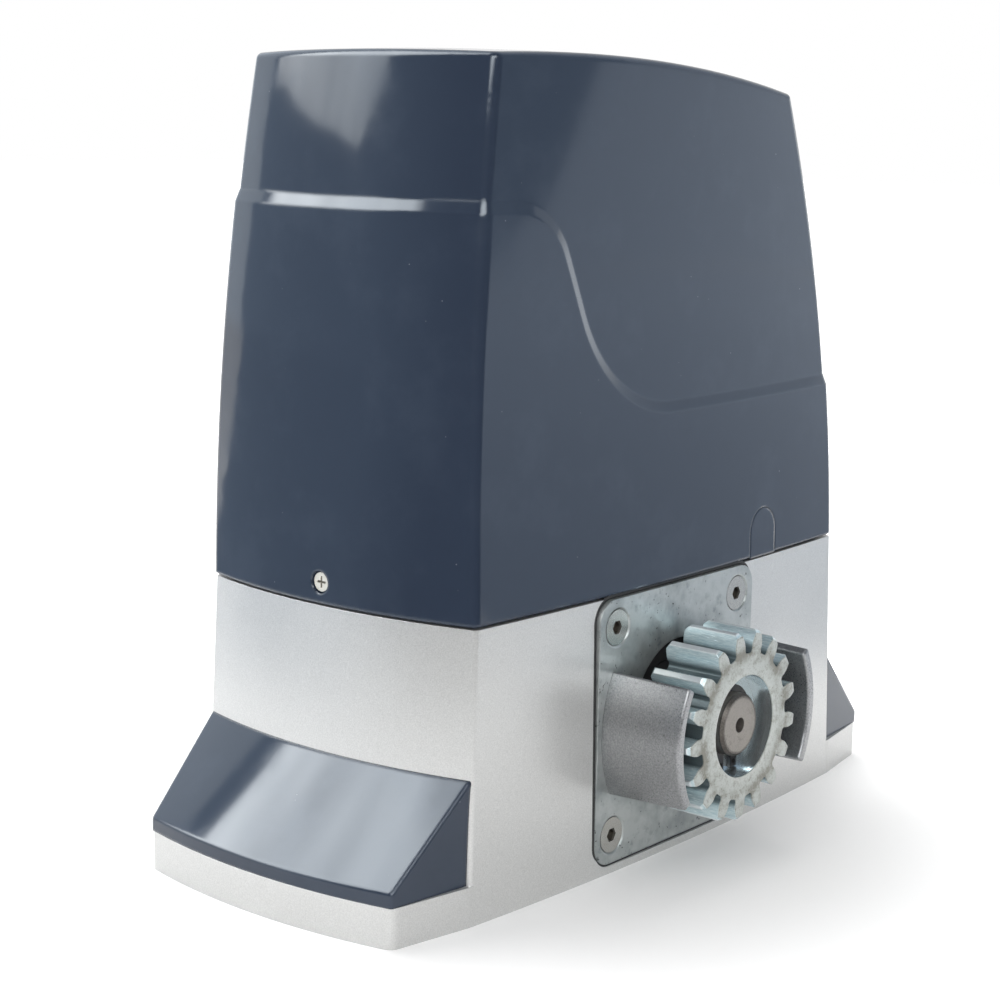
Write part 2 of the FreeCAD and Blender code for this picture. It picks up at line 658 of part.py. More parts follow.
def make_pinion():
    module = size("pinion_module")
    teeth = int(size("pinion_teeth"))
    tip_r = module * (teeth + 2) / 2
    root_r = module * (teeth - 2.5) / 2
    long = size("pinion_front") - size("pinion_rear")
    wire = toothed_outline(module, teeth, tip_r, root_r, size("tooth_thin"), 90 - size("pinion_turn"))
    gear = Part.Face(wire).extrude(Vector(0, 0, long))
    roots = [edge for edge in gear.Edges
             if edge.Length > long - 0.1 and abs(math.hypot(edge.CenterOfMass.x, edge.CenterOfMass.y) - root_r) < 0.01]
    gear = gear.makeFillet(size("root_round"), roots)
    bevel = size("tooth_bevel")
    blank = [(0, 0), (tip_r - bevel, 0), (tip_r, bevel), (tip_r, long - bevel), (tip_r - bevel, long), (0, long)]
    profile = Part.Face(Part.makePolygon([Vector(r, 0, z) for r, z in blank + blank[:1]]))
    gear = gear.common(profile.revolve(Vector(), Vector(0, 0, 1), 360))
    floor = size("sink_floor") - size("pinion_rear")
    gear = gear.cut(Part.makeCylinder(size("shaft_r") + size("fit_gap"), long))
    gear = gear.cut(Part.makeCylinder(size("sink_bore_r"), long, Vector(0, 0, floor)))
    slot = box((-size("key_wide") / 2 - 0.05, 5, -1), (size("key_wide") / 2 + 0.05, size("key_top") + 0.3, floor + 1))
    gear = gear.cut(slot)
    piece = fixed("drive_pinion", gear)
    piece.Placement = Placement(Vector(size("axis_x"), -size("pinion_rear"), size("axis_z")), outward)


def make_output_shaft():
    body = turned("output_shaft", axis_spot,
                  [("0", "-18"), ("5", "-18"), ("5", "0-shaft_in"), ("shaft_r-1", "0-shaft_in"),
                   ("shaft_r", "1-shaft_in"), ("shaft_r", "sink_floor+0.1"), ("shaft_r-0.7", "sink_floor+0.1"),
                   ("shaft_r-0.7", "sink_floor+1.7"), ("shaft_r", "sink_floor+1.7"),
                   ("shaft_r", "shaft_out-shaft_bevel"), ("shaft_r-shaft_bevel", "shaft_out"),
                   ("centre_hole_r", "shaft_out"), ("centre_hole_r", "shaft_out-14"), ("0", "shaft_out-16")],
                  outward)
    for name, low, high in (("pinion_keyway", "82", "94"), ("wheel_keyway", "-9", "9")):
        sketch = sketch_on(body, "XY_Plane", name)
        sketch.setExpression("AttachmentOffset.Base.z", formula(low))
        draw_outline(sketch, [("0-4", "8.4"), ("4", "8.4"), ("4", "14"), ("0-4", "14")])
        pocket = body.newObject("PartDesign::Pocket", name + "_cut")
        pocket.Profile = sketch
        pocket.setExpression("Length", formula(high + "-" + low.lstrip("-") if low[0] != "-" else high + "+" + low[1:]))
        pocket.Reversed = True
        body.Tip = pocket


def key_block(label, low, high):
    key = rounded_block((-3.95, 8.5, low), (3.95, 15.7, high), 0.8, "z")
    piece = fixed(label, key)
    piece.Placement = Placement(Vector(size("axis_x"), 0, size("axis_z")), outward)


def make_circlip():
    inner = size("shaft_r") - 0.6
    ring = Part.makeCylinder(inner + 3.4, 1.5).cut(Part.makeCylinder(inner, 1.5))
    ring = ring.fuse(box((-6.5, -18.8, 0), (6.5, -13.6, 1.5))).cut(box((-2.4, -25, -1), (2.4, -8, 3)))
    for side in (-1, 1):
        ring = ring.cut(Part.makeCylinder(1.1, 4, Vector(side * 4.5, -16.6, -1)))
    piece = fixed("pinion_circlip", ring)
    piece.Placement = Placement(Vector(size("axis_x"), -size("sink_floor") - 0.15, size("axis_z")), outward)


def make_output_train():
    make_output_shaft()
    make_pinion()
    key_block("pinion_key", 82.1, 93.9)
    key_block("wheel_key", -8.9, 8.9)
    make_circlip()
    turned("pinion_spacer", axis_spot,
           [("shaft_r+fit_gap", "59.3"), ("sleeve_r", "59.3"), ("sleeve_r", "pinion_rear-6"),
            ("sleeve_r+3", "pinion_rear-4"), ("sleeve_r+3", "pinion_rear"), ("shaft_r+fit_gap", "pinion_rear")],
           outward)
    spacers = []
    for low, high in ((14.0, 44.1), (-23.9, -14.0)):
        ring = Part.makeCylinder(16.0, high - low, Vector(0, 0, low))
        spacers.append(ring.cut(Part.makeCylinder(size("shaft_r") + size("fit_gap"), 100, Vector(0, 0, -50))))
    piece = fixed("wheel_spacers", Part.makeCompound(spacers))
    piece.Placement = Placement(Vector(size("axis_x"), 0, size("axis_z")), outward)
    make_wheel_hub()
    make_worm_wheel()


def make_wheel_hub():
    half = size("hub_half")
    outline = [(size("shaft_r") + size("fit_gap"), -half), (20, -half), (20, -6), (24, -6), (24, -size("wheel_half")),
               (size("hub_r") - 0.03, -size("wheel_half")), (size("hub_r") - 0.03, size("wheel_half")),
               (24, size("wheel_half")), (24, 6), (20, 6), (20, half), (size("shaft_r") + size("fit_gap"), half)]
    face = Part.Face(Part.makePolygon([Vector(r, 0, z) for r, z in outline + outline[:1]]))
    hub = face.revolve(Vector(), Vector(0, 0, 1), 360)
    hub = hub.cut(box((-4.05, 5, -20), (4.05, 16.1, 20)))
    for turn in range(6):
        angle = math.radians(60 * turn + 30)
        hub = hub.cut(Part.makeCylinder(2.6, 40, Vector(22 * math.cos(angle), 22 * math.sin(angle), -20)))
    piece = fixed("wheel_hub", hub)
    piece.Placement = Placement(Vector(size("axis_x"), 0, size("axis_z")), outward)


def make_worm_wheel():
    # teeth slanted by the worm's lead angle, as ruled bands between turned outlines
    module = size("worm_module")
    teeth = int(size("wheel_teeth"))
    pitch_r = module * teeth / 2
    half = size("wheel_half")
    lead = module / (2 * size("worm_pitch_r"))
    swing = math.degrees(half * lead / pitch_r)
    wires = []
    for low, turn in ((-half, -swing), (half, swing)):
        wire = toothed_outline(module, teeth, pitch_r + module, pitch_r - 1.25 * module,
                               size("backlash"), 180.0 / teeth + turn)
        wire.translate(Vector(0, 0, low))
        wires.append(wire)
    wheel = Part.makeLoft(wires, True, True)
    wheel = wheel.cut(Part.makeCylinder(size("hub_r"), 60, Vector(0, 0, -30)))
    piece = fixed("worm_wheel", wheel)
    piece.Placement = Placement(Vector(size("axis_x"), 0, size("axis_z")), outward)


# ---------------------------------------------------------------- motor

def make_worm():
    module = size("worm_module")
    lead = math.pi * module
    pitch_r = size("worm_pitch_r")
    root_r = pitch_r - 1.25 * module
    tip_r = pitch_r + module
    flank = math.tan(math.radians(20))
    half_pitch = lead / 4 - size("backlash") / 2
    inner_r = root_r - 0.5
    wide = half_pitch + (pitch_r - inner_r) * flank
    narrow = half_pitch - (tip_r - pitch_r) * flank
    turns = 5
    start = -turns * lead / 2
    spine = Part.makeHelix(lead, turns * lead, pitch_r)
    spine.translate(Vector(0, 0, start))
    corners = [Vector(inner_r, 0, start - wide), Vector(tip_r, 0, start - narrow),
               Vector(tip_r, 0, start + narrow), Vector(inner_r, 0, start + wide)]
    profile = Part.makePolygon(corners + corners[:1])
    thread = Part.Wire(spine.Edges).makePipeShell([profile], True, True)
    core = Part.makeCylinder(root_r, 2 * size("worm_half") + 8, Vector(0, 0, -size("worm_half") - 4))
    worm = core.fuse(thread).cut(Part.makeCylinder(8.55, 80, Vector(0, 0, -40)))
    piece = fixed("worm_screw", worm)
    # half a turn puts a thread, not a gap, level with the wheel's middle
    piece.Placement = Placement(Vector(motor_x, 0, size("axis_z")), Rotation(Vector(0, 0, 1), 180))


def make_motor():
    turned("rotor_shaft", motor_spot,
           [("0", "12.5"), ("7.5", "12.5"), ("7.5", "23.2"), ("rotor_shaft_r", "23.2"), ("rotor_shaft_r", "84"),
            ("10", "84"), ("10", "126.2"), ("12", "126.2"), ("12", "130"), ("rotor_shaft_r", "130"),
            ("rotor_shaft_r", "221.8"), ("7.5", "221.8"), ("7.5", "rotor_top"), ("0", "rotor_top")])
    make_worm()
    turned("rotor_core", motor_spot,
           [("rotor_shaft_r+fit_gap", "stack_low-4"), ("rotor_r-4", "stack_low-8"), ("rotor_r", "stack_low-8"),
            ("rotor_r", "stack_high+8"), ("rotor_r-4", "stack_high+8"), ("rotor_shaft_r+fit_gap", "stack_high+4")])
    turned("worm_shaft_seal", motor_spot,
           [("10.1", "103"), ("15", "103"), ("15", "109.8"), ("13.5", "109.8"), ("12.5", "108.4"), ("10.1", "109")])
    make_stator()
    make_end_bells()


def make_stator():
    low = size("stack_low")
    high = size("stack_high")
    stack = rod(size("stator_r"), (motor_x, 0, low), (motor_x, 0, high))
    stack = stack.cut(rod(size("rotor_r") + size("air_gap"), (motor_x, 0, low - 1), (motor_x, 0, high + 1)))
    slots = 12
    for slot in range(slots):
        angle = 2 * math.pi * slot / slots
        centre = (motor_x + 38 * math.cos(angle), 38 * math.sin(angle))
        stack = stack.cut(rod(5.2, (centre[0], centre[1], low - 1), (centre[0], centre[1], high + 1)))
    for turn in range(4):
        angle = math.radians(45 + 90 * turn)
        spot = (motor_x + 49 * math.cos(angle), 49 * math.sin(angle))
        stack = stack.cut(rod(2.6, (spot[0], spot[1], low - 1), (spot[0], spot[1], high + 1)))
    fixed("stator_core", stack)
    coils = []
    for bottom, top in ((low - 16, low - 0.1), (high + 0.1, high + 16)):
        ring = Part.makeCylinder(45, top - bottom, Vector(motor_x, 0, bottom))
        ring = ring.cut(Part.makeCylinder(32, 40, Vector(motor_x, 0, bottom - 5)))
        rims = [edge for edge in ring.Edges if edge.Closed]
        coils.append(ring.makeFillet(4.0, rims))
    winding = coils[0].fuse(coils[1])
    for slot in range(slots):
        angle = 2 * math.pi * slot / slots
        centre = (motor_x + 38 * math.cos(angle), 38 * math.sin(angle))
        winding = winding.fuse(rod(4.9, (centre[0], centre[1], low - 5), (centre[0], centre[1], high + 5)))
    fixed("stator_windings", winding)


def make_end_bells():
    # two cast cups that hold the bearings and clamp the stack between them
    turned("lower_end_bell", motor_spot,
           [("15.05", "102.8"), ("29.9", "102.8"), ("29.9", "seam_z"), ("stator_r+2", "seam_z"),
            ("stator_r+2", "stack_low+6"), ("stator_r+0.05", "stack_low+6"), ("stator_r+0.05", "stack_low"),
            ("stator_r-2", "stack_low"), ("stator_r-2", "seam_z+6"), ("27", "seam_z+6"), ("27", "126"),
            ("23.55", "126"), ("23.55", "112"), ("15.05", "112")])
    turned("upper_end_bell", motor_spot,
           [("11", "236"), ("11", "233.2"), ("17.55", "233.2"), ("17.55", "221.6"), ("21.5", "221.6"),
            ("21.5", "230"), ("stator_r-2", "228"), ("stator_r-2", "stack_high"), ("stator_r+0.05", "stack_high"),
            ("stator_r+0.05", "stack_high-6"), ("stator_r+2", "stack_high-6"), ("stator_r+2", "231"),
            ("24", "236")])
    bolts = []
    for turn in range(4):
        angle = math.radians(45 + 90 * turn)
        spot = (motor_x + 49 * math.cos(angle), 49 * math.sin(angle))
        bolts.append(rod(2.4, (spot[0], spot[1], size("stack_low") + 0.2), (spot[0], spot[1], size("stack_high") - 0.2)))
    fixed("motor_tie_bolts", Part.makeCompound(bolts))


# ---------------------------------------------------------------- electrics

def make_electrics():
    floor = "seam_z"
    padded("board_tray", ("0", "0", floor),
           [("6", "0-56"), ("110", "0-56"), ("110", "56"), ("6", "56")], "3",
           [("84", "0", "13"), ("20", "0-30", "9")])
    padded("control_board", ("6", "44", "116"),
           [("0", "0"), ("86", "0"), ("86", "110"), ("0", "110")], "1.6",
           [("5", "5", "1.6"), ("81", "5", "1.6"), ("5", "105", "1.6"), ("81", "105", "1.6")],
           Rotation(Vector(1, 0, 0), 90))
    base_z = size("seam_z") + 3
    posts = [box((8, 44, base_z), (20, 52, 120)), box((80, 44, base_z), (92, 52, 120))]
    fixed("board_posts", Part.makeCompound(posts))
    front = 42.3
    blocks = [box((12, front - 11, 118), (52, front, 129)), box((56, front - 11, 118), (86, front, 129))]
    fixed("terminal_blocks", Part.makeCompound(blocks))
    relays = [box((14 + 22 * k, front - 16, 140), (33 + 22 * k, front, 156)) for k in range(3)]
    fixed("relays", Part.makeCompound(relays))
    chips = [box((20, front - 4, 170), (36, front, 186)), box((50, front - 5, 168), (80, front, 176)),
             box((48, front - 8, 190), (60, front, 206)), box((68, front - 6, 196), (84, front, 210))]
    fixed("board_components", Part.makeCompound(chips))
    core = box((52, -44, base_z), (104, -2, base_z + 44))
    core = core.cut(box((62, -50, base_z + 9), (72, 10, base_z + 35))).cut(
        box((84, -50, base_z + 9), (94, 10, base_z + 35)))
    fixed("transformer_core", core)
    coil = rounded_block((62.2, -52, base_z + 9.2), (93.8, 6, base_z + 34.8), 4.0, "z").cut(
        box((72, -44, base_z + 9), (84, -2, base_z + 36))).cut(core)
    fixed("transformer_coil", coil)
    turned("run_capacitor", ("24", "0-2", "0"),
           [("0", "seam_z+3.5"), ("19", "seam_z+3.5"), ("20", "seam_z+4.5"), ("20", "190"), ("19", "192"),
            ("16", "192"), ("16", "190.5"), ("0", "190.5")])
    clamp = rod(22.4, (24, -2, 160), (24, -2, 168)).cut(rod(20.1, (24, -2, 159), (24, -2, 169)))
    fixed("capacitor_clamp", clamp.fuse(box((23, 20.2, 160), (25, 42.2, 168))))
    bracket = box((50, -61, base_z), (70, -56.5, base_z + 2)).fuse(box((50, -58.5, base_z), (70, -56.5, base_z + 14)))
    sensor = box((52, -61.5, base_z + 2.2), (68, -58.7, base_z + 13))
    fixed("limit_sensor_bracket", bracket)
    fixed("limit_sensor", sensor)
    turned("cable_grommet", ("84", "0", "0"),
           [("9", "0.3"), ("15", "0.3"), ("14.9", "5"), ("18", "5"), ("18", "7"), ("13", "8"), ("9", "12")])
    turned("oil_plug", ("20", "0-30", "0"),
           [("0", "98"), ("4.9", "98"), ("4.9", "seam_z"), ("8", "seam_z"), ("8", "seam_z+5"), ("0", "seam_z+5")])


# ---------------------------------------------------------------- release on the back

def make_release():
    hinge_x = size("lever_hinge_x")
    hinge_y = size("hinge_y")
    axis_z = size("axis_z")
    left = size("lever_left")
    half = size("lever_half")
    low = size("recess_floor") + 4.4
    top = size("lever_face")
    lever = rounded_block((left, low, axis_z - half), (hinge_x + 10, top, axis_z + half), 4.0, "y")
    lever = lever.cut(box((hinge_x, low - 1, axis_z - 40), (hinge_x + 12, top + 1, axis_z + 40)))
    lever = lever.cut(rounded_block((left + 22, low - 1, axis_z - half + 3),
                                    (hinge_x - 8, top - 4, axis_z + half - 3), 3.0, "y"))
    # a boss that the clutch pin leans on, and the hinge knuckle
    lever = lever.fuse(rod(6.0, (size("axis_x"), low, axis_z), (size("axis_x"), top - 2, axis_z)))
    lever = lever.fuse(rod(5.2, (hinge_x, hinge_y, axis_z - half), (hinge_x, hinge_y, axis_z + half)))
    lever = lever.cut(rod(size("pin_r") + 0.08, (hinge_x, hinge_y, axis_z - 40), (hinge_x, hinge_y, axis_z + 40)))
    lock_x = left + 10.5
    lever = lever.cut(rod(size("lock_r") + 0.06, (lock_x, low - 1, axis_z), (lock_x, top + 1, axis_z)))
    fixed("release_lever", lever)
    fixed("lever_pin", rod(size("pin_r"), (hinge_x, hinge_y, axis_z - 26), (hinge_x, hinge_y, axis_z + 26)))
    lock = rod(size("lock_r"), (lock_x, low, axis_z), (lock_x, top + 0.4, axis_z))
    lock = lock.cut(box((lock_x - 0.7, top - 6, axis_z - 4.0), (lock_x + 0.7, top + 2, axis_z + 4.0)))
    lock = lock.fuse(rod(3.0, (lock_x, low - 3.4, axis_z), (lock_x, low, axis_z)))
    fixed("lock_cylinder", lock)
    tongue = box((lock_x - 3.5, low - 3.2, axis_z - 4), (lock_x + 3.5, low - 1.2, axis_z + 17.5))
    fixed("lock_tongue", tongue.cut(rod(3.02, (lock_x, low - 5, axis_z), (lock_x, low + 2, axis_z))))
    fixed("clutch_pin", rod(4.5, (size("axis_x"), 22, axis_z), (size("axis_x"), low - 0.3, axis_z)))


def make_seals():
    ring = base_outline(size("seam_z"), 4.6)
    inner = base_outline(size("seam_z"), 7.6)
    band = Part.Face(ring).cut(Part.Face(inner)).extrude(Vector(0, 0, 1.6))
    for side in (-1, 1):
        inner_x, outer_x = sorted((side * 118, side * 129))
        band = band.cut(box((inner_x, -9.5, 100), (outer_x, 9.5, 120)))
    fixed("cover_gasket", Part.makeCompound(band.Solids))


# ---------------------------------------------------------------- build and write

make_base()
make_cover()
make_slot_plug()
make_end_screws()
make_foot_covers()
make_seals()
make_plate()
make_plate_screws()
make_guards()
make_gearbox_front()
make_bearings()
make_output_train()
make_motor()
make_electrics()
make_release()
doc.recompute()

for item in doc.Objects:
    if "Invalid" in item.State or "Error" in item.State:
        raise RuntimeError("failed: " + item.Label)

os.makedirs("parts", exist_ok=True)
for node in nodes:
    if node.Shape.isNull() or not node.Shape.isValid():
        raise RuntimeError("bad shape: " + node.Label)
    node.Shape.exportStep("parts/" + node.Label + ".step")
print(len(nodes), "nodes")
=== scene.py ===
import bpy, json, math
import numpy as np
from mathutils import Matrix, Vector


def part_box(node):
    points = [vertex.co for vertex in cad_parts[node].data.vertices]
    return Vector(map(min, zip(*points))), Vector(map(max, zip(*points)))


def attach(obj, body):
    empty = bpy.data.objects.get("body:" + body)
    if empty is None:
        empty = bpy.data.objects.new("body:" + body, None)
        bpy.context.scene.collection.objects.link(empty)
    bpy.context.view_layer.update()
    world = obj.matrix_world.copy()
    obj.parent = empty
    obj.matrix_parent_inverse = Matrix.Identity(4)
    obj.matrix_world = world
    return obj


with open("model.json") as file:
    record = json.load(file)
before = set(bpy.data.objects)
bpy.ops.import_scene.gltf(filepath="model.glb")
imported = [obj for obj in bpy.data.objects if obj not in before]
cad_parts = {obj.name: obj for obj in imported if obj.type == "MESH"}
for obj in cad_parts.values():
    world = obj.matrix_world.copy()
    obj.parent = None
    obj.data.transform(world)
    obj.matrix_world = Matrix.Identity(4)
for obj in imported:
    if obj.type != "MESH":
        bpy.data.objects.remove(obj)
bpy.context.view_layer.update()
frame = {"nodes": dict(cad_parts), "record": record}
nodes = frame["nodes"]
print("frame loaded:", len(nodes), "nodes")


# camera: where it stands, which way it looks, and its lens on a 36 mm sensor
cameraView = {"place": (-0.680, -0.5304, 0.2875), "yaw": 0.88815, "pitch": 0.17896, "roll": 0.01896,
              "lens": 76.13}


def makeCamera(view):
    # the view axis comes from yaw and pitch, then the right and up axes are turned by the roll
    yaw, pitch, roll = view["yaw"], view["pitch"], view["roll"]
    ahead = Vector((math.sin(yaw) * math.cos(pitch), math.cos(yaw) * math.cos(pitch), -math.sin(pitch)))
    right = ahead.cross(Vector((0, 0, 1))).normalized()
    up = right.cross(ahead)
    rightAxis = right * math.cos(roll) + up * math.sin(roll)
    upAxis = up * math.cos(roll) - right * math.sin(roll)
    data = bpy.data.cameras.new("camera")
    data.lens = view["lens"]
    data.sensor_width = 36
    data.clip_start = 0.01
    camera = bpy.data.objects.new("camera", data)
    bpy.context.scene.collection.objects.link(camera)
    turn = Matrix((rightAxis, upAxis, -ahead)).transposed()
    camera.matrix_world = Matrix.Translation(view["place"]) @ turn.to_4x4()
    bpy.context.scene.camera = camera


class Wire:
    # one socket of a node tree; arithmetic on it adds Math nodes
    def __init__(self, paint, socket):
        self.paint, self.socket = paint, socket

    def __add__(self, other):
        return self.paint.math("ADD", self, other)

    def __radd__(self, other):
        return self.paint.math("ADD", other, self)

    def __sub__(self, other):
        return self.paint.math("SUBTRACT", self, other)

    def __rsub__(self, other):
        return self.paint.math("SUBTRACT", other, self)

    def __mul__(self, other):
        return self.paint.math("MULTIPLY", self, other)

    def __rmul__(self, other):
        return self.paint.math("MULTIPLY", other, self)

    def __pow__(self, other):
        return self.paint.math("POWER", self, other)

    def __abs__(self):
        return self.paint.math("ABSOLUTE", self)

    def atLeast(self, low):
        return self.paint.math("MAXIMUM", self, low)

    def atMost(self, high):
        return self.paint.math("MINIMUM", self, high)

    def step(self, low, high):
        # 0 at low, 1 at high, smooth between them; low may be the larger
        return self.paint.node("ShaderNodeMapRange", {"interpolation_type": "SMOOTHSTEP"},
                               {"Value": self, "From Min": low, "From Max": high})


class Paint:
    # one material's node tree
    def __init__(self, name):
        self.material = bpy.data.materials.new(name)
        self.material.use_nodes = True
        self.tree = self.material.node_tree
        self.tree.nodes.clear()
        self.end = self.tree.nodes.new("ShaderNodeOutputMaterial")
        self.place = None

    def node(self, kind, settings=None, values=None, out=0):
        # settings first, then each socket's value or link; "stops" fills a colour ramp
        made = self.tree.nodes.new(kind)
        for key, setting in (settings or {}).items():
            if key == "stops":
                ramp = made.color_ramp
                for index, (spot, colour) in enumerate(setting):
                    stop = ramp.elements[index] if index < 2 else ramp.elements.new(spot)
                    stop.position = spot
                    stop.color = (*colour, 1)
            else:
                setattr(made, key, setting)
        pairs = enumerate(values) if isinstance(values, list) else (values or {}).items()
        for key, value in pairs:
            socket = made.inputs[key]
            if isinstance(value, Wire):
                self.tree.links.new(value.socket, socket)
            elif isinstance(value, tuple) and len(value) == 3 and socket.type == "RGBA":
                socket.default_value = (*value, 1)
            else:
                socket.default_value = value
        return Wire(self, made.outputs[out])

    def math(self, operation, *values):
        return self.node("ShaderNodeMath", {"operation": operation}, list(values))

    def spot(self):
        # the object's own coordinates, which move with the piece
        if self.place is None:
            self.place = self.node("ShaderNodeTexCoord", out="Object")
        return self.place

    def axes(self):
        # the three coordinates as numbers, in metres
        apart = self.node("ShaderNodeSeparateXYZ", {}, [self.spot()]).socket.node
        return [Wire(self, socket) for socket in apart.outputs]

    def stretched(self, scale):
        return self.node("ShaderNodeMapping", {}, {"Vector": self.spot(), "Scale": scale})

    def noise(self, scale, detail=2.0, roughness=0.5, vector=None):
        return self.node("ShaderNodeTexNoise", {}, {"Vector": vector or self.spot(), "Scale": scale,
                                                    "Detail": detail, "Roughness": roughness})

    def cells(self, scale):
        # distance to the nearest of many scattered points
        return self.node("ShaderNodeTexVoronoi", {"feature": "F1"}, {"Vector": self.spot(), "Scale": scale})

    def mix(self, share, low, high):
        # two colours
        return self.node("ShaderNodeMix", {"data_type": "RGBA"}, {0: share, 6: low, 7: high}, out=2)

    def ramp(self, share, stops):
        return self.node("ShaderNodeValToRGB", {"stops": stops}, [share])

    def softEdges(self, radius, samples=4):
        # a normal that rounds the edges by this radius, in shading alone
        return self.node("ShaderNodeBevel", {"samples": samples}, {"Radius": radius})

    def bump(self, height, strength, distance, under=None):
        # under is a normal that the bumps are laid on
        values = {"Strength": strength, "Distance": distance, "Height": height}
        if under is not None:
            values["Normal"] = under
        return self.node("ShaderNodeBump", {}, values)

    def show(self, shader):
        self.tree.links.new(shader.socket, self.end.inputs[0])
        return self.material

    def finish(self, fixed, varying):
        # fixed numbers sit on the shader's own sockets; varying ones are linked
        return self.show(self.node("ShaderNodeBsdfPrincipled", {}, {**fixed, **varying}))


# floor, backdrop and two lamps; the glow is the floor's own light, near the middle and far from it
studio = {"floorHalf": 9.0, "floorColour": (0.86, 0.86, 0.86), "nearGlow": 0.12, "farGlow": 0.85,
          "glowFrom": 0.11, "glowTo": 0.38, "worldLight": 0.62,
          "keyAim": (0, 0, 0.15), "fillAim": (0, 0, 0.12),
          "keySize": (1.5, 1.1), "keyPlace": (0.25, 0.55, 1.45), "keyPower": 21.0,
          "fillSize": (1.4, 0.7), "fillPlace": (-1.36, -0.82, 0.45), "fillPower": 9.8}


def makeFloor(values):
    # a pale sheet whose glow grows with distance from the middle, so that it meets the backdrop in white
    half = values["floorHalf"]
    mesh = bpy.data.meshes.new("floor")
    corners = [(-half, -half, 0), (half, -half, 0), (half, half, 0), (-half, half, 0)]
    mesh.from_pydata(corners, [], [(0, 1, 2, 3)])
    floor = bpy.data.objects.new("floor", mesh)
    bpy.context.scene.collection.objects.link(floor)
    paint = Paint("floorSheet")
    seen = (paint.node("ShaderNodeLightPath", out="Is Camera Ray")
            + paint.node("ShaderNodeLightPath", out="Is Glossy Ray"))
    across, along, up = paint.axes()
    away = (across ** 2.0 + along ** 2.0) ** 0.5
    share = away.step(values["glowFrom"], values["glowTo"])
    amount = share * (values["farGlow"] - values["nearGlow"]) + values["nearGlow"]
    soft = paint.node("ShaderNodeBsdfDiffuse", {}, {"Color": values["floorColour"]})
    glow = paint.node("ShaderNodeEmission", {}, {"Color": (1, 1, 1), "Strength": seen * amount})
    both = paint.node("ShaderNodeAddShader", {}, [soft, glow])
    mesh.materials.append(paint.show(both))


def makeWorld(values):
    # the backdrop is white to the camera and in reflections, and lights the object more gently
    world = bpy.data.worlds.new("studio")
    world.use_nodes = True
    tree = world.node_tree
    path = tree.nodes.new("ShaderNodeLightPath")
    either = tree.nodes.new("ShaderNodeMath")
    either.operation = "ADD"
    either.use_clamp = True
    tree.links.new(path.outputs["Is Camera Ray"], either.inputs[0])
    tree.links.new(path.outputs["Is Glossy Ray"], either.inputs[1])
    strength = tree.nodes.new("ShaderNodeMapRange")
    strength.inputs["To Min"].default_value = values["worldLight"]
    strength.inputs["To Max"].default_value = 1.0
    tree.links.new(either.outputs[0], strength.inputs["Value"])
    back = tree.nodes["Background"]
    back.inputs["Color"].default_value = (1, 1, 1, 1)
    tree.links.new(strength.outputs[0], back.inputs["Strength"])
    bpy.context.scene.world = world


def makeLamp(name, place, aim, size, power):
    data = bpy.data.lights.new(name, "AREA")
    data.shape = "RECTANGLE"
    data.size, data.size_y = size
    data.energy = power
    lamp = bpy.data.objects.new(name, data)
    bpy.context.scene.collection.objects.link(lamp)
    lamp.location = place
    lamp.rotation_euler = (Vector(aim) - Vector(place)).to_track_quat("-Z", "Y").to_euler()
    lamp.visible_glossy = False
    return lamp


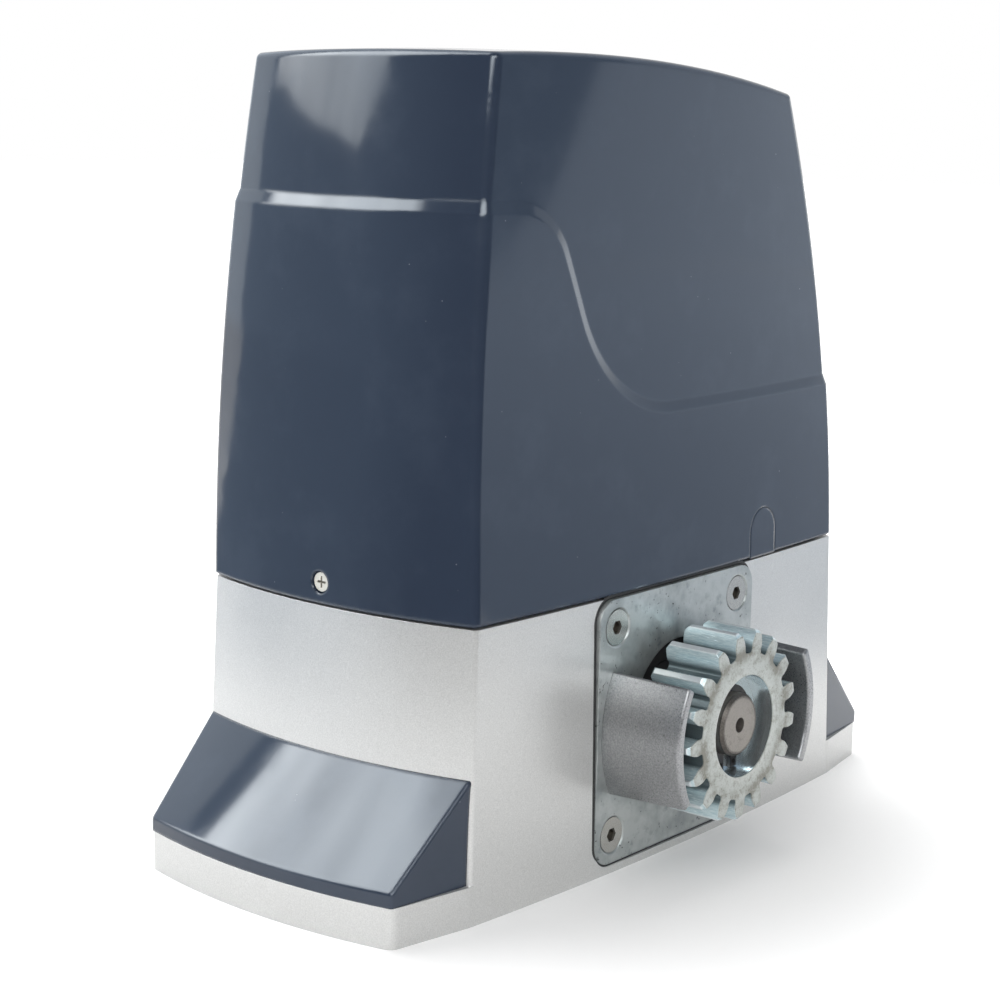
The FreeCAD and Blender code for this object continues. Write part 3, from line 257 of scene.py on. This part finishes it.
# cards that show only in reflections; "low" and "high" are matching points of the lower and upper edge,
# as (azimuth from -X towards +Y, elevation) in degrees, or (azimuth, distance) where "flat" gives a height
# above the floor; "glow" is the strength at places along u (the edges) or v (from low to high), and
# "cloud" varies it by noise of that scale
cards = {
    "darkLeft": {"low": [(-26, -16), (70, -16)], "high": [(-26, 89), (82, 89)], "far": 8.5,
                 "colour": (0.80, 1.0, 1.25), "along": "u",
                 "glow": [(0.36, 0.03), (0.60, 0.50), (1.0, 0.62)]},
    "darkFloor": {"low": [(-116, 0.40), (70, 0.40)], "high": [(-127, 8.4), (70, 8.4)], "flat": 0.003,
                  "colour": (0.80, 1.0, 1.25), "along": "u",
                  "glow": [(0.69, 0.03), (0.79, 0.42), (1.0, 0.50)]},
    "darkFront": {"low": [(-145, 12), (-141, 8.2), (-137.8, 4.9), (-134.3, 1.3), (-131.3, 0.7), (-128, -3),
                          (-26, -3)],
                  "high": [(-165, 89), (-160, 89), (-155, 89), (-150, 89), (-140, 89), (-128, 89), (-26, 89)],
                  "far": 8.6, "colour": (0.80, 1.0, 1.25), "along": "u",
                  "glow": [(0.0, 0.42), (0.80, 0.42), (0.86, 0.03)]},
    "softboxBack": {"low": [(26, 34), (32.5, 15.5), (35.7, 13.3), (38.5, 10.7), (46, 10.9), (55, 10.8),
                            (66, 10.9), (71, 10.6)],
                    "high": [(20, 80), (27, 80), (34, 80), (41, 80), (48, 80), (55, 80), (62, 80),
                             (70.3, 80)],
                    "far": 7.0, "colour": (0.97, 0.99, 1.0), "along": "v",
                    "glow": [(0.0, 4.0), (0.08, 5.0), (0.20, 10.5), (0.45, 9.5), (0.635, 9.5), (0.66, 5.6)],
                    "cloud": {"scale": 7.0, "swing": 1.0}},
    "softboxFront": {"low": [(-54, 17.9), (-20, 17.9)], "high": [(-80, 44), (-20, 44)], "far": 7.0,
                     "colour": (0.97, 0.99, 1.0), "along": "v", "glow": [(0.0, 8.0), (1.0, 9.0)]},
    "paleLeft": {"low": [(70, -14), (115, -14)], "high": [(78, 70), (125, 70)], "far": 8.8,
                 "colour": (0.92, 1.0, 1.08), "along": "v", "glow": [(0.0, 1.6), (1.0, 1.6)]},
    "paleFront": {"low": [(-178, -2), (-126, -2)], "high": [(-178, 60), (-126, 60)], "far": 8.9,
                  "colour": (0.90, 1.0, 1.13), "along": "v", "glow": [(0.10, 1.15), (0.17, 0.85)]},
    "brightRight": {"low": [(-178, -1), (-159.5, -1)], "high": [(-178, 9.5), (-159.5, 9.5)], "far": 8.2,
                    "colour": (0.95, 1.0, 1.05), "along": "u", "glow": [(0.0, 2.6), (0.65, 2.2), (1.0, 1.1)]},
    "paleFloor": {"low": [(-175, 0.34), (-117, 0.34)], "high": [(-175, 8.4), (-128, 8.4)], "flat": 0.003,
                  "colour": (0.90, 1.0, 1.13), "along": "v",
                  "glow": [(0.0, 0.66), (0.06, 0.78), (0.20, 1.0), (0.50, 1.15)]},
}


def makeCard(name, values, middle=(0, 0, 0.2)):
    # u runs along both edges and v climbs from the low one to the high one; azimuth and elevation
    # are blended straight between them, and each pair is a direction times the distance
    steps = 49  # grid points each way
    u, v = np.meshgrid(np.linspace(0, 1, steps), np.linspace(0, 1, steps), indexing="ij")
    low, high = np.array(values["low"], float), np.array(values["high"], float)
    knots = np.linspace(0, 1, len(low))
    turn, lift = [np.interp(u, knots, low[:, axis]) * (1 - v) + np.interp(u, knots, high[:, axis]) * v
                  for axis in (0, 1)]
    turn = np.radians(turn)
    if "flat" in values:
        points = np.stack([-np.cos(turn) * lift, np.sin(turn) * lift, np.full_like(lift, values["flat"])], -1)
    else:
        lift = np.radians(lift)
        points = np.stack([-np.cos(turn) * np.cos(lift), np.sin(turn) * np.cos(lift), np.sin(lift)], -1)
        points = points * values["far"] + np.array(middle)
    mesh = bpy.data.meshes.new(name)
    first = (np.arange(steps - 1)[:, None] * steps + np.arange(steps - 1)).ravel()
    faces = np.stack([first, first + steps, first + steps + 1, first + 1], 1)
    mesh.from_pydata(points.reshape(-1, 3).tolist(), [], faces.tolist())
    uv = mesh.uv_layers.new(name="sheet")
    pairs = np.stack([u.ravel(), v.ravel()], 1)[faces.ravel()]
    uv.data.foreach_set("uv", pairs.ravel())
    card = bpy.data.objects.new(name, mesh)
    bpy.context.scene.collection.objects.link(card)
    paint = Paint(name + "Sheet")
    place = paint.node("ShaderNodeTexCoord", out="UV")
    way = paint.node("ShaderNodeSeparateXYZ", {}, [place], out="uv".index(values["along"]))
    peak = max(glow for spot, glow in values["glow"])
    strength = paint.ramp(way, [(spot, (glow / peak,) * 3) for spot, glow in values["glow"]]) * peak
    if "cloud" in values:
        cloud = paint.noise(values["cloud"]["scale"], vector=place) - 0.5
        strength = strength * (1.0 + cloud * values["cloud"]["swing"])
    glow = paint.node("ShaderNodeEmission", {}, {"Color": values["colour"], "Strength": strength})
    mesh.materials.append(paint.show(glow))
    card.visible_camera = False
    card.visible_diffuse = False
    card.visible_shadow = False
    card.visible_transmission = False


# materials; each has one dictionary of what a user would change: scales are per metre, lengths in metres
# light is the middle tone and contrast how far the grain swings it
silverEnamel = {"colour": (0.685, 0.686, 0.676), "dark": (0.465, 0.467, 0.46), "metal": 0.50, "rough": 0.35,
                "light": 0.64, "contrast": 1.7, "grain": 2000.0, "grainDepth": 0.000028, "grainGloss": 0.22,
                "flakes": 1150.0, "flakeSize": (0.30, 0.05), "flakeLight": 0.22, "flakeRise": 0.2,
                "cloud": 22.0, "cloudLight": 0.25, "cloudGloss": 0.10, "bump": 0.55, "soften": 0.0003}

# the gear guards' darker cast skin
castSilver = {**silverEnamel, "colour": (0.45, 0.456, 0.463), "dark": (0.21, 0.214, 0.219), "metal": 0.76,
              "rough": 0.31, "light": 0.40, "grain": 1500.0, "grainDepth": 0.00005, "flakes": 950.0,
              "soften": 0.0009}


def makeSilverEnamel(name, values):
    # fine metallic grain: small noise for the hammered skin, cells for the brighter flakes
    paint = Paint(name)
    grain = paint.noise(values["grain"], 3.0, 0.65)
    cloud = paint.noise(values["cloud"], 3.0, 0.5)
    flakes = paint.cells(values["flakes"]).step(*values["flakeSize"])
    tone = (grain - 0.5) * values["contrast"] + values["light"] + (cloud - 0.5) * values["cloudLight"]
    tone = (tone + flakes * values["flakeLight"]).atLeast(0.0).atMost(1.0)
    colour = paint.mix(tone, values["dark"], values["colour"])
    rough = values["rough"] + (grain - 0.5) * values["grainGloss"] + (cloud - 0.5) * values["cloudGloss"]
    edges = paint.softEdges(values["soften"])
    normal = paint.bump(grain + flakes * values["flakeRise"], values["bump"], values["grainDepth"], edges)
    return paint.finish({"Metallic": values["metal"]},
                        {"Base Color": colour, "Roughness": rough, "Normal": normal})


coverGloss = {"colour": (0.028, 0.039, 0.063), "pale": (0.039, 0.053, 0.081), "rough": 0.075,
              "tint": (0.90, 0.96, 1.0, 1.0), "ior": 1.5, "shine": 0.5,
              "smears": 34.0, "smearEdge": (0.46, 0.74), "smearShare": 0.45, "haze": 0.07, "grain": 2600.0,
              "grainShare": 0.25, "specks": 170.0, "speckSize": (0.055, 0.025), "speckPlaces": 60.0,
              "speckEdge": (0.56, 0.64), "speckShare": 0.55, "speckGloss": 0.3, "dust": (0.24, 0.26, 0.29),
              "waves": 9.0, "waveDepth": 0.00030, "cloudRise": 0.06, "grainRise": 0.004, "bump": 0.4,
              "soften": 0.0016}


def makeCoverGloss(values):
    # moulded plastic: slow waves in the skin, cloudy handling marks and a few grains of dust
    paint = Paint("coverGloss")
    waves = paint.noise(values["waves"], 2.0, 0.4)
    cloud = paint.noise(values["smears"], 4.0, 0.6)
    grain = paint.noise(values["grain"], 1.0, 0.5)
    specks = paint.cells(values["specks"]).step(*values["speckSize"])
    specks = specks * paint.noise(values["speckPlaces"]).step(*values["speckEdge"])
    smear = cloud.step(*values["smearEdge"])
    share = smear * values["smearShare"] + (grain - 0.5) * values["grainShare"]
    colour = paint.mix(share, values["colour"], values["pale"])
    colour = paint.mix(specks * values["speckShare"], colour, values["dust"])
    rough = values["rough"] + smear * values["haze"] + specks * values["speckGloss"]
    edges = paint.softEdges(values["soften"], samples=6)
    relief = waves + cloud * values["cloudRise"] + grain * values["grainRise"]
    normal = paint.bump(relief, values["bump"], values["waveDepth"], edges)
    fixed = {"IOR": values["ior"], "Specular IOR Level": values["shine"], "Specular Tint": values["tint"]}
    return paint.finish(fixed, {"Base Color": colour, "Roughness": rough, "Normal": normal})


# the output axis, as its place along X and Z
outputAxis = (-0.0025, 0.0562)


def radiusFrom(paint, axis):
    # distance from an axis that runs along Y, and the place along it
    across, along, up = paint.axes()
    return ((across - axis[0]) ** 2.0 + (up - axis[1]) ** 2.0) ** 0.5, along


zincSheet = {"colour": (0.45, 0.475, 0.47), "dark": (0.21, 0.235, 0.24), "rough": 0.36, "metal": 0.62,
             "brushing": (260.0, 260.0, 2200.0), "brushGloss": 0.18, "clouds": 42.0,
             "cloudEdge": (0.40, 0.68), "cloudShare": 0.55, "cloudGloss": 0.25, "grain": 230.0,
             "grainShare": 0.9, "blots": 150.0, "blotEdge": (0.56, 0.68), "blotShare": 0.4,
             "shadeNearPinion": (0.056, 0.030), "shadeNearShare": 0.25,
             "pits": 520.0, "pitEdge": (0.66, 0.72), "pitPlaces": (0.42, 0.55), "pitShare": 0.8,
             "pitGloss": 0.3, "pitColour": (0.06, 0.06, 0.06), "lineRise": 0.5, "grainRise": 0.6,
             "pitSink": 1.2, "bump": 0.4, "depth": 0.00008, "soften": 0.0007}


def makeZincSheet(values):
    # zinc-plated plate: brushed lines, cloudy stains, painted shade that darkens it towards the pinion, dark
    # pits
    paint = Paint("zincSheet")
    radius, along = radiusFrom(paint, outputAxis)
    lines = paint.noise(1.0, 3.0, 0.6, vector=paint.stretched(values["brushing"]))
    cloud = paint.noise(values["clouds"], 5.0, 0.62)
    grain = paint.noise(values["grain"], 4.0, 0.6)
    pits = paint.noise(values["pits"]).step(*values["pitEdge"]) * cloud.step(*values["pitPlaces"])
    # painted shade: the plate is darkened towards the pinion's axis, where the gear and its guards shade it
    pinionShade = radius.step(*values["shadeNearPinion"])
    blots = paint.noise(values["blots"], 5.0, 0.7).step(*values["blotEdge"])
    # darkening mixes real stains, grain and blots with the painted shade round the pinion
    darkening = (cloud.step(*values["cloudEdge"]) * values["cloudShare"] + pinionShade * values["shadeNearShare"]
             + (grain - 0.5) * values["grainShare"] + blots * values["blotShare"])
    colour = paint.mix(darkening.atLeast(0.0).atMost(1.0), values["colour"], values["dark"])
    colour = paint.mix(pits * values["pitShare"], colour, values["pitColour"])
    rough = (values["rough"] + (cloud - 0.5) * values["cloudGloss"] + (lines - 0.5) * values["brushGloss"]
             + pits * values["pitGloss"])
    edges = paint.softEdges(values["soften"])
    relief = lines * values["lineRise"] + grain * values["grainRise"] - pits * values["pitSink"]
    normal = paint.bump(relief, values["bump"], values["depth"], edges)
    return paint.finish({"Metallic": values["metal"]},
                        {"Base Color": colour, "Roughness": rough, "Normal": normal})


zincGear = {"colour": (0.75, 0.89, 0.92), "deep": (0.43, 0.56, 0.60), "landHighlight": (0.74, 0.80, 0.82),
            "root": (0.10, 0.13, 0.14), "bore": (0.66, 0.72, 0.74), "face": (0.50, 0.525, 0.50),
            "dirt": (0.20, 0.19, 0.155), "metal": 0.44, "boreMetal": 0.42, "rough": 0.24, "boreGloss": 0.11,
            "faceGloss": 0.24, "front": 0.1041, "rootR": 0.029, "rootSpan": (0.0336, 0.0300),
            "rootShare": 0.92, "tipR": 0.0374, "boreR": 0.0228, "streaks": (2600.0, 240.0, 2600.0),
            "streakEdge": (0.25, 0.75), "streakGloss": 0.20, "clouds": 95.0, "cloudEdge": (0.36, 0.58),
            "cornerShare": 0.8, "cornerSpan": 0.0050, "frontBlend": 0.0002, "boreBlend": 0.0006,
            "tipBlend": 0.0004,
            "grain": 1100.0, "grainEdge": (0.52, 0.66), "grainShare": 0.40, "grainGloss": 0.2,
            "mottle": 330.0, "mottleEdge": (0.46, 0.70), "mottleShare": 0.50, "mostDirt": 0.85,
            "streakRise": 0.6, "grainRise": 0.5, "mottleRise": 0.2,
            "bump": 0.45, "depth": 0.00012, "soften": 0.0004}


def makeZincGear(values):
    # blue-white plating: fine drawn streaks on the flanks, tip lands made lighter as a painted highlight,
    # roots made darker as painted shade, a bright bore;
    # the front face is duller and mottled, with dirt in its corners
    paint = Paint("zincGear")
    radius, along = radiusFrom(paint, outputAxis)
    streaks = paint.noise(1.0, 5.0, 0.68, vector=paint.stretched(values["streaks"]))
    cloud = paint.noise(values["clouds"], 4.0, 0.6)
    grain = paint.noise(values["grain"], 4.0, 0.7)
    mottle = paint.noise(values["mottle"], 5.0, 0.7)
    front = (along * -1.0).step(values["front"] - values["frontBlend"], values["front"])
    bore = radius.step(values["boreR"], values["boreR"] - values["boreBlend"])
    flank = paint.mix(streaks.step(*values["streakEdge"]), values["deep"], values["colour"])
    # painted shade: the tooth roots are darkened towards the root circle
    flank = paint.mix(radius.step(*values["rootSpan"]) * values["rootShare"], flank, values["root"])
    # painted highlight: the tip lands are given a lighter colour
    landHighlightMask = radius.step(values["tipR"], values["tipR"] + values["tipBlend"])
    flank = paint.mix(landHighlightMask, flank, values["landHighlight"])
    flank = paint.mix(bore, flank, values["bore"])
    corners = abs(radius - values["rootR"]).step(values["cornerSpan"], 0.0)
    dirt = (corners * cloud.step(*values["cloudEdge"]) * values["cornerShare"]
            + grain.step(*values["grainEdge"]) * values["grainShare"]
            + mottle.step(*values["mottleEdge"]) * values["mottleShare"])
    face = paint.mix(dirt.atMost(values["mostDirt"]), values["face"], values["dirt"])
    colour = paint.mix(front, flank, face)
    rough = (values["rough"] + (streaks - 0.5) * values["streakGloss"] - bore * values["boreGloss"]
             + front * (values["faceGloss"] + (grain - 0.5) * values["grainGloss"]))
    metal = values["metal"] + bore * (1 - front) * values["boreMetal"]
    relief = (streaks * values["streakRise"] * (1 - bore) + grain * values["grainRise"] * front
              + mottle * values["mottleRise"])
    normal = paint.bump(relief, values["bump"], values["depth"], paint.softEdges(values["soften"]))
    return paint.finish({}, {"Base Color": colour, "Roughness": rough, "Metallic": metal, "Normal": normal})


# the plate screws are told by their place along Y and the cover screws by theirs along X; each socket's
# span starts just behind the head's face
nickelScrew = {"colour": (0.47, 0.46, 0.43), "bright": (0.86, 0.83, 0.75), "dark": (0.05, 0.042, 0.03),
               "metal": 0.85, "coverMetal": 0.30, "rough": 0.24, "socketGloss": 0.2,
               "plateSocket": (-0.0715, -0.0705), "plateFrom": (-0.060, -0.066),
               "coverSocket": (0.1307, 0.1303), "headFrom": (0.120, 0.121), "coverFrom": (0.115, 0.120),
               "socketShadeShare": 0.85, "grain": 1300.0, "grainGloss": 0.08, "stains": 210.0,
               "stainEdge": (0.50, 0.72), "stainShare": 0.10, "bump": 0.10, "depth": 0.00001}


def makeNickelScrew(values):
    # bright heads with fine turning marks; anything deeper than the face is painted dark, as painted shade in
    # the sockets
    paint = Paint("nickelScrew")
    across, along, up = paint.axes()
    # deep marks whatever lies deeper than a head's face; below it is darkened as painted shade in the sockets
    # and cross recesses
    deep = along.step(*values["plateSocket"]) * along.step(*values["plateFrom"])
    end = abs(across)
    deep = deep + end.step(*values["coverSocket"]) * end.step(*values["headFrom"])
    grain = paint.noise(values["grain"], 3.0, 0.6)
    darkening = paint.noise(values["stains"], 4.0, 0.6).step(*values["stainEdge"])
    coverScrew = end.step(*values["coverFrom"])
    colour = paint.mix(coverScrew, values["colour"], values["bright"])
    colour = paint.mix(darkening * values["stainShare"] + deep * values["socketShadeShare"], colour, values["dark"])
    rough = values["rough"] + (grain - 0.5) * values["grainGloss"] + deep * values["socketGloss"]
    metal = values["metal"] - coverScrew * (values["metal"] - values["coverMetal"])
    normal = paint.bump(grain, values["bump"], values["depth"])
    return paint.finish({}, {"Base Color": colour, "Roughness": rough, "Metallic": metal, "Normal": normal})


turnedSteel = {"colour": (0.265, 0.245, 0.222), "dark": (0.10, 0.09, 0.08), "metal": 0.75, "rough": 0.40,
               "endAt": (0.1000, 0.1012), "rim": 0.0102, "rimWide": 0.0009, "rimShare": 0.85, "rings": 2400.0,
               "ringGloss": 0.1, "specks": 1500.0, "speckShare": 1.1, "speckGloss": 0.25, "brown": 160.0,
               "brownEdge": (0.45, 0.75), "brownShare": 0.35, "ringRise": 0.6, "speckRise": 0.5, "bump": 0.4,
               "depth": 0.00005}


def makeTurnedSteel(values):
    # turned ends: faint rings about the axis, brown specks, and a darker rim
    paint = Paint("turnedSteel")
    radius, along = radiusFrom(paint, outputAxis)
    rings = paint.node("ShaderNodeTexNoise", {"noise_dimensions": "1D"},
                       {"W": radius, "Scale": values["rings"], "Detail": 2.0})
    specks = paint.noise(values["specks"], 3.0, 0.6)
    brown = paint.noise(values["brown"], 4.0, 0.6).step(*values["brownEdge"])
    front = (along * -1.0).step(*values["endAt"])
    rim = radius.step(values["rim"], values["rim"] + values["rimWide"]) * front
    tone = rim * values["rimShare"] + (specks - 0.5) * values["speckShare"] + brown * values["brownShare"]
    colour = paint.mix(tone.atLeast(0.0), values["colour"], values["dark"])
    rough = values["rough"] + (specks - 0.5) * values["speckGloss"] + (rings - 0.5) * values["ringGloss"]
    relief = rings * values["ringRise"] + specks * values["speckRise"]
    normal = paint.bump(relief, values["bump"], values["depth"])
    return paint.finish({"Metallic": values["metal"]},
                        {"Base Color": colour, "Roughness": rough, "Normal": normal})


# the other finishes share one recipe, whose common values come first; each then has a colour and its worn
# shade, grain and cloud sizes, and the gloss
plainShared = {"cloudEdge": (0.42, 0.72), "grainShare": 0.5, "grainGloss": 0.16, "cloudGloss": 0.12,
               "cloudRise": 0.3, "bump": 0.4}
plainFinishes = {
    "black_steel": {"colour": (0.030, 0.030, 0.032), "worn": (0.11, 0.10, 0.095), "metal": 0.6, "rough": 0.42,
                    "grain": 1800.0, "cloud": 190.0, "wear": 0.5, "depth": 0.00005},
    "black_iron": {"colour": (0.045, 0.045, 0.047), "worn": (0.12, 0.11, 0.10), "metal": 0.4, "rough": 0.55,
                   "grain": 900.0, "cloud": 120.0, "wear": 0.4, "depth": 0.00012},
    "bearing_steel": {"colour": (0.66, 0.67, 0.69), "worn": (0.44, 0.45, 0.47), "metal": 1.0, "rough": 0.16,
                      "grain": 2400.0, "cloud": 90.0, "wear": 0.35, "depth": 0.00002},
    "black_rubber": {"colour": (0.020, 0.020, 0.021), "worn": (0.050, 0.049, 0.047), "metal": 0.0,
                     "rough": 0.62, "grain": 1100.0, "cloud": 80.0, "wear": 0.5, "depth": 0.00006},
    "bronze": {"colour": (0.52, 0.34, 0.15), "worn": (0.30, 0.18, 0.08), "metal": 1.0, "rough": 0.33,
               "grain": 1300.0, "cloud": 110.0, "wear": 0.5, "depth": 0.00005},
    "lock_brass": {"colour": (0.60, 0.52, 0.33), "worn": (0.34, 0.28, 0.17), "metal": 1.0, "rough": 0.28,
                   "grain": 1500.0, "cloud": 180.0, "wear": 0.4, "depth": 0.00004},
    "laminations": {"colour": (0.25, 0.25, 0.26), "worn": (0.12, 0.10, 0.09), "metal": 0.8, "rough": 0.45,
                    "grain": 700.0, "cloud": 90.0, "wear": 0.5, "depth": 0.0001},
    "copper": {"colour": (0.52, 0.21, 0.09), "worn": (0.28, 0.10, 0.045), "metal": 0.7, "rough": 0.30,
               "grain": 800.0, "cloud": 130.0, "wear": 0.5, "depth": 0.0002},
    "coil_tape": {"colour": (0.58, 0.46, 0.11), "worn": (0.42, 0.31, 0.07), "metal": 0.0, "rough": 0.36,
                  "grain": 600.0, "cloud": 70.0, "wear": 0.4, "depth": 0.0001},
    "bare_aluminium": {"colour": (0.62, 0.62, 0.63), "worn": (0.44, 0.44, 0.45), "metal": 0.9, "rough": 0.46,
                       "grain": 900.0, "cloud": 60.0, "wear": 0.5, "depth": 0.0001},
    "circuit_board": {"colour": (0.018, 0.15, 0.07), "worn": (0.04, 0.22, 0.11), "metal": 0.0, "rough": 0.30,
                      "grain": 500.0, "cloud": 240.0, "wear": 0.6, "depth": 0.00004},
    "black_plastic": {"colour": (0.028, 0.028, 0.030), "worn": (0.055, 0.055, 0.057), "metal": 0.0,
                      "rough": 0.45, "grain": 1400.0, "cloud": 70.0, "wear": 0.4, "depth": 0.00005},
    "relay_blue": {"colour": (0.02, 0.10, 0.34), "worn": (0.04, 0.15, 0.42), "metal": 0.0, "rough": 0.32,
                   "grain": 1300.0, "cloud": 90.0, "wear": 0.4, "depth": 0.00003},
    "terminal_green": {"colour": (0.045, 0.33, 0.11), "worn": (0.07, 0.42, 0.17), "metal": 0.0, "rough": 0.40,
                       "grain": 1300.0, "cloud": 90.0, "wear": 0.4, "depth": 0.00003},
    "capacitor_white": {"colour": (0.70, 0.70, 0.68), "worn": (0.58, 0.57, 0.53), "metal": 0.0, "rough": 0.35,
                        "grain": 1200.0, "cloud": 60.0, "wear": 0.4, "depth": 0.00003},
}


def makePlainFinish(name, values):
    values = {**plainShared, **values}
    paint = Paint(name)
    grain = paint.noise(values["grain"], 3.0, 0.6)
    cloud = paint.noise(values["cloud"], 4.0, 0.6)
    share = cloud.step(*values["cloudEdge"]) * values["wear"] + (grain - 0.5) * values["grainShare"]
    colour = paint.mix(share.atLeast(0.0), values["colour"], values["worn"])
    rough = values["rough"] + (grain - 0.5) * values["grainGloss"] + (cloud - 0.5) * values["cloudGloss"]
    normal = paint.bump(grain + cloud * values["cloudRise"], values["bump"], values["depth"])
    return paint.finish({"Metallic": values["metal"]},
                        {"Base Color": colour, "Roughness": rough, "Normal": normal})


makeCamera(cameraView)
bpy.context.scene.view_settings.view_transform = "Standard"
makeFloor(studio)
makeWorld(studio)
makeLamp("keyLight", studio["keyPlace"], studio["keyAim"], studio["keySize"], studio["keyPower"])
makeLamp("fillLight", studio["fillPlace"], studio["fillAim"], studio["fillSize"], studio["fillPower"])
for cardName, cardValues in cards.items():
    makeCard(cardName, cardValues)
print("stage and lights ready")

finishes = {"base_paint": makeSilverEnamel("silverEnamel", silverEnamel),
            "cover_plastic": makeCoverGloss(coverGloss),
            "zinc_plate": makeZincSheet(zincSheet), "zinc_gear": makeZincGear(zincGear),
            "screw_steel": makeNickelScrew(nickelScrew), "machined_steel": makeTurnedSteel(turnedSteel)}
for slotName, slotValues in plainFinishes.items():
    finishes[slotName] = makePlainFinish(slotName, slotValues)

castSilverSkin = makeSilverEnamel("castSilver", castSilver)

slotOf = {row["node"]: row["material_slot"] for row in frame["record"]["subparts"]}
for nodeName, node in nodes.items():
    for holder in node.material_slots:
        holder.material = castSilverSkin if nodeName.endswith("gear_guard") else finishes[slotOf[nodeName]]
print("materials given to", len(slotOf), "nodes")

# a dark bead in the gap round the gearbox plate, a dark thing put there as painted shade for the gap's shadow
plateShadowBead = {"wide": 0.0019, "deep": 0.0010, "sunk": -0.00015, "round": 0.0090, "turns": 24, "facets": 8,
             "wall": (0.0735, 0.021, 0.319)}


def makePlateShadowBead(values):
    # the plate's outline is a square with quarter-circle corners: each corner's angle sweeps 90 degrees about
    # its centre; u runs round it and v round a small oval section. The bead follows the lower of the plate's
    # face and the housing wall, which stands a - b z - c x^2 out from the middle
    low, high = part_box("gearbox_plate")
    corners = [(high[0], high[2], 0), (low[0], high[2], 90), (low[0], low[2], 180), (high[0], low[2], 270)]
    sides = [(-1, -1), (1, -1), (1, 1), (-1, 1)]
    sweep = np.radians(np.linspace(0, 90, values["turns"]))
    centre = np.repeat([(x + a * values["round"], z + b * values["round"])
                        for (x, z, start), (a, b) in zip(corners, sides)], values["turns"], axis=0)
    angle = np.concatenate([np.radians(start) + sweep for x, z, start in corners])
    section = np.radians(np.linspace(0, 360, values["facets"] + 1)[:-1])
    out = values["round"] + values["wide"] * (0.5 + 0.5 * np.cos(section))
    x = centre[:, :1] + np.cos(angle)[:, None] * out
    z = centre[:, 1:] + np.sin(angle)[:, None] * out
    stand, lean, bulge = values["wall"]
    surface = np.minimum(stand - lean * z - bulge * x ** 2, -low[1])
    depth = -surface + values["sunk"] + values["deep"] * 0.5 * (1 + np.sin(section)[None, :])
    points = np.stack([x, depth, z], -1).reshape(-1, 3)
    rows, across = len(angle), len(section)
    first = np.arange(rows)[:, None] * across + np.arange(across)
    ahead = np.roll(first, -1, axis=0)
    faces = np.stack([first, np.roll(first, -1, axis=1), np.roll(ahead, -1, axis=1), ahead], -1)
    faces = faces.reshape(-1, 4)
    mesh = bpy.data.meshes.new("plateShadowBead")
    mesh.from_pydata(points.tolist(), [], faces.tolist())
    mesh.polygons.foreach_set("use_smooth", [True] * len(mesh.polygons))
    shadowBead = bpy.data.objects.new("plateShadowBead", mesh)
    bpy.context.scene.collection.objects.link(shadowBead)
    # the black finish makes the bead the painted shade of the gap
    mesh.materials.append(finishes["black_rubber"])
    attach(shadowBead, "frame")


makePlateShadowBead(plateShadowBead)
print("plate bead ready")
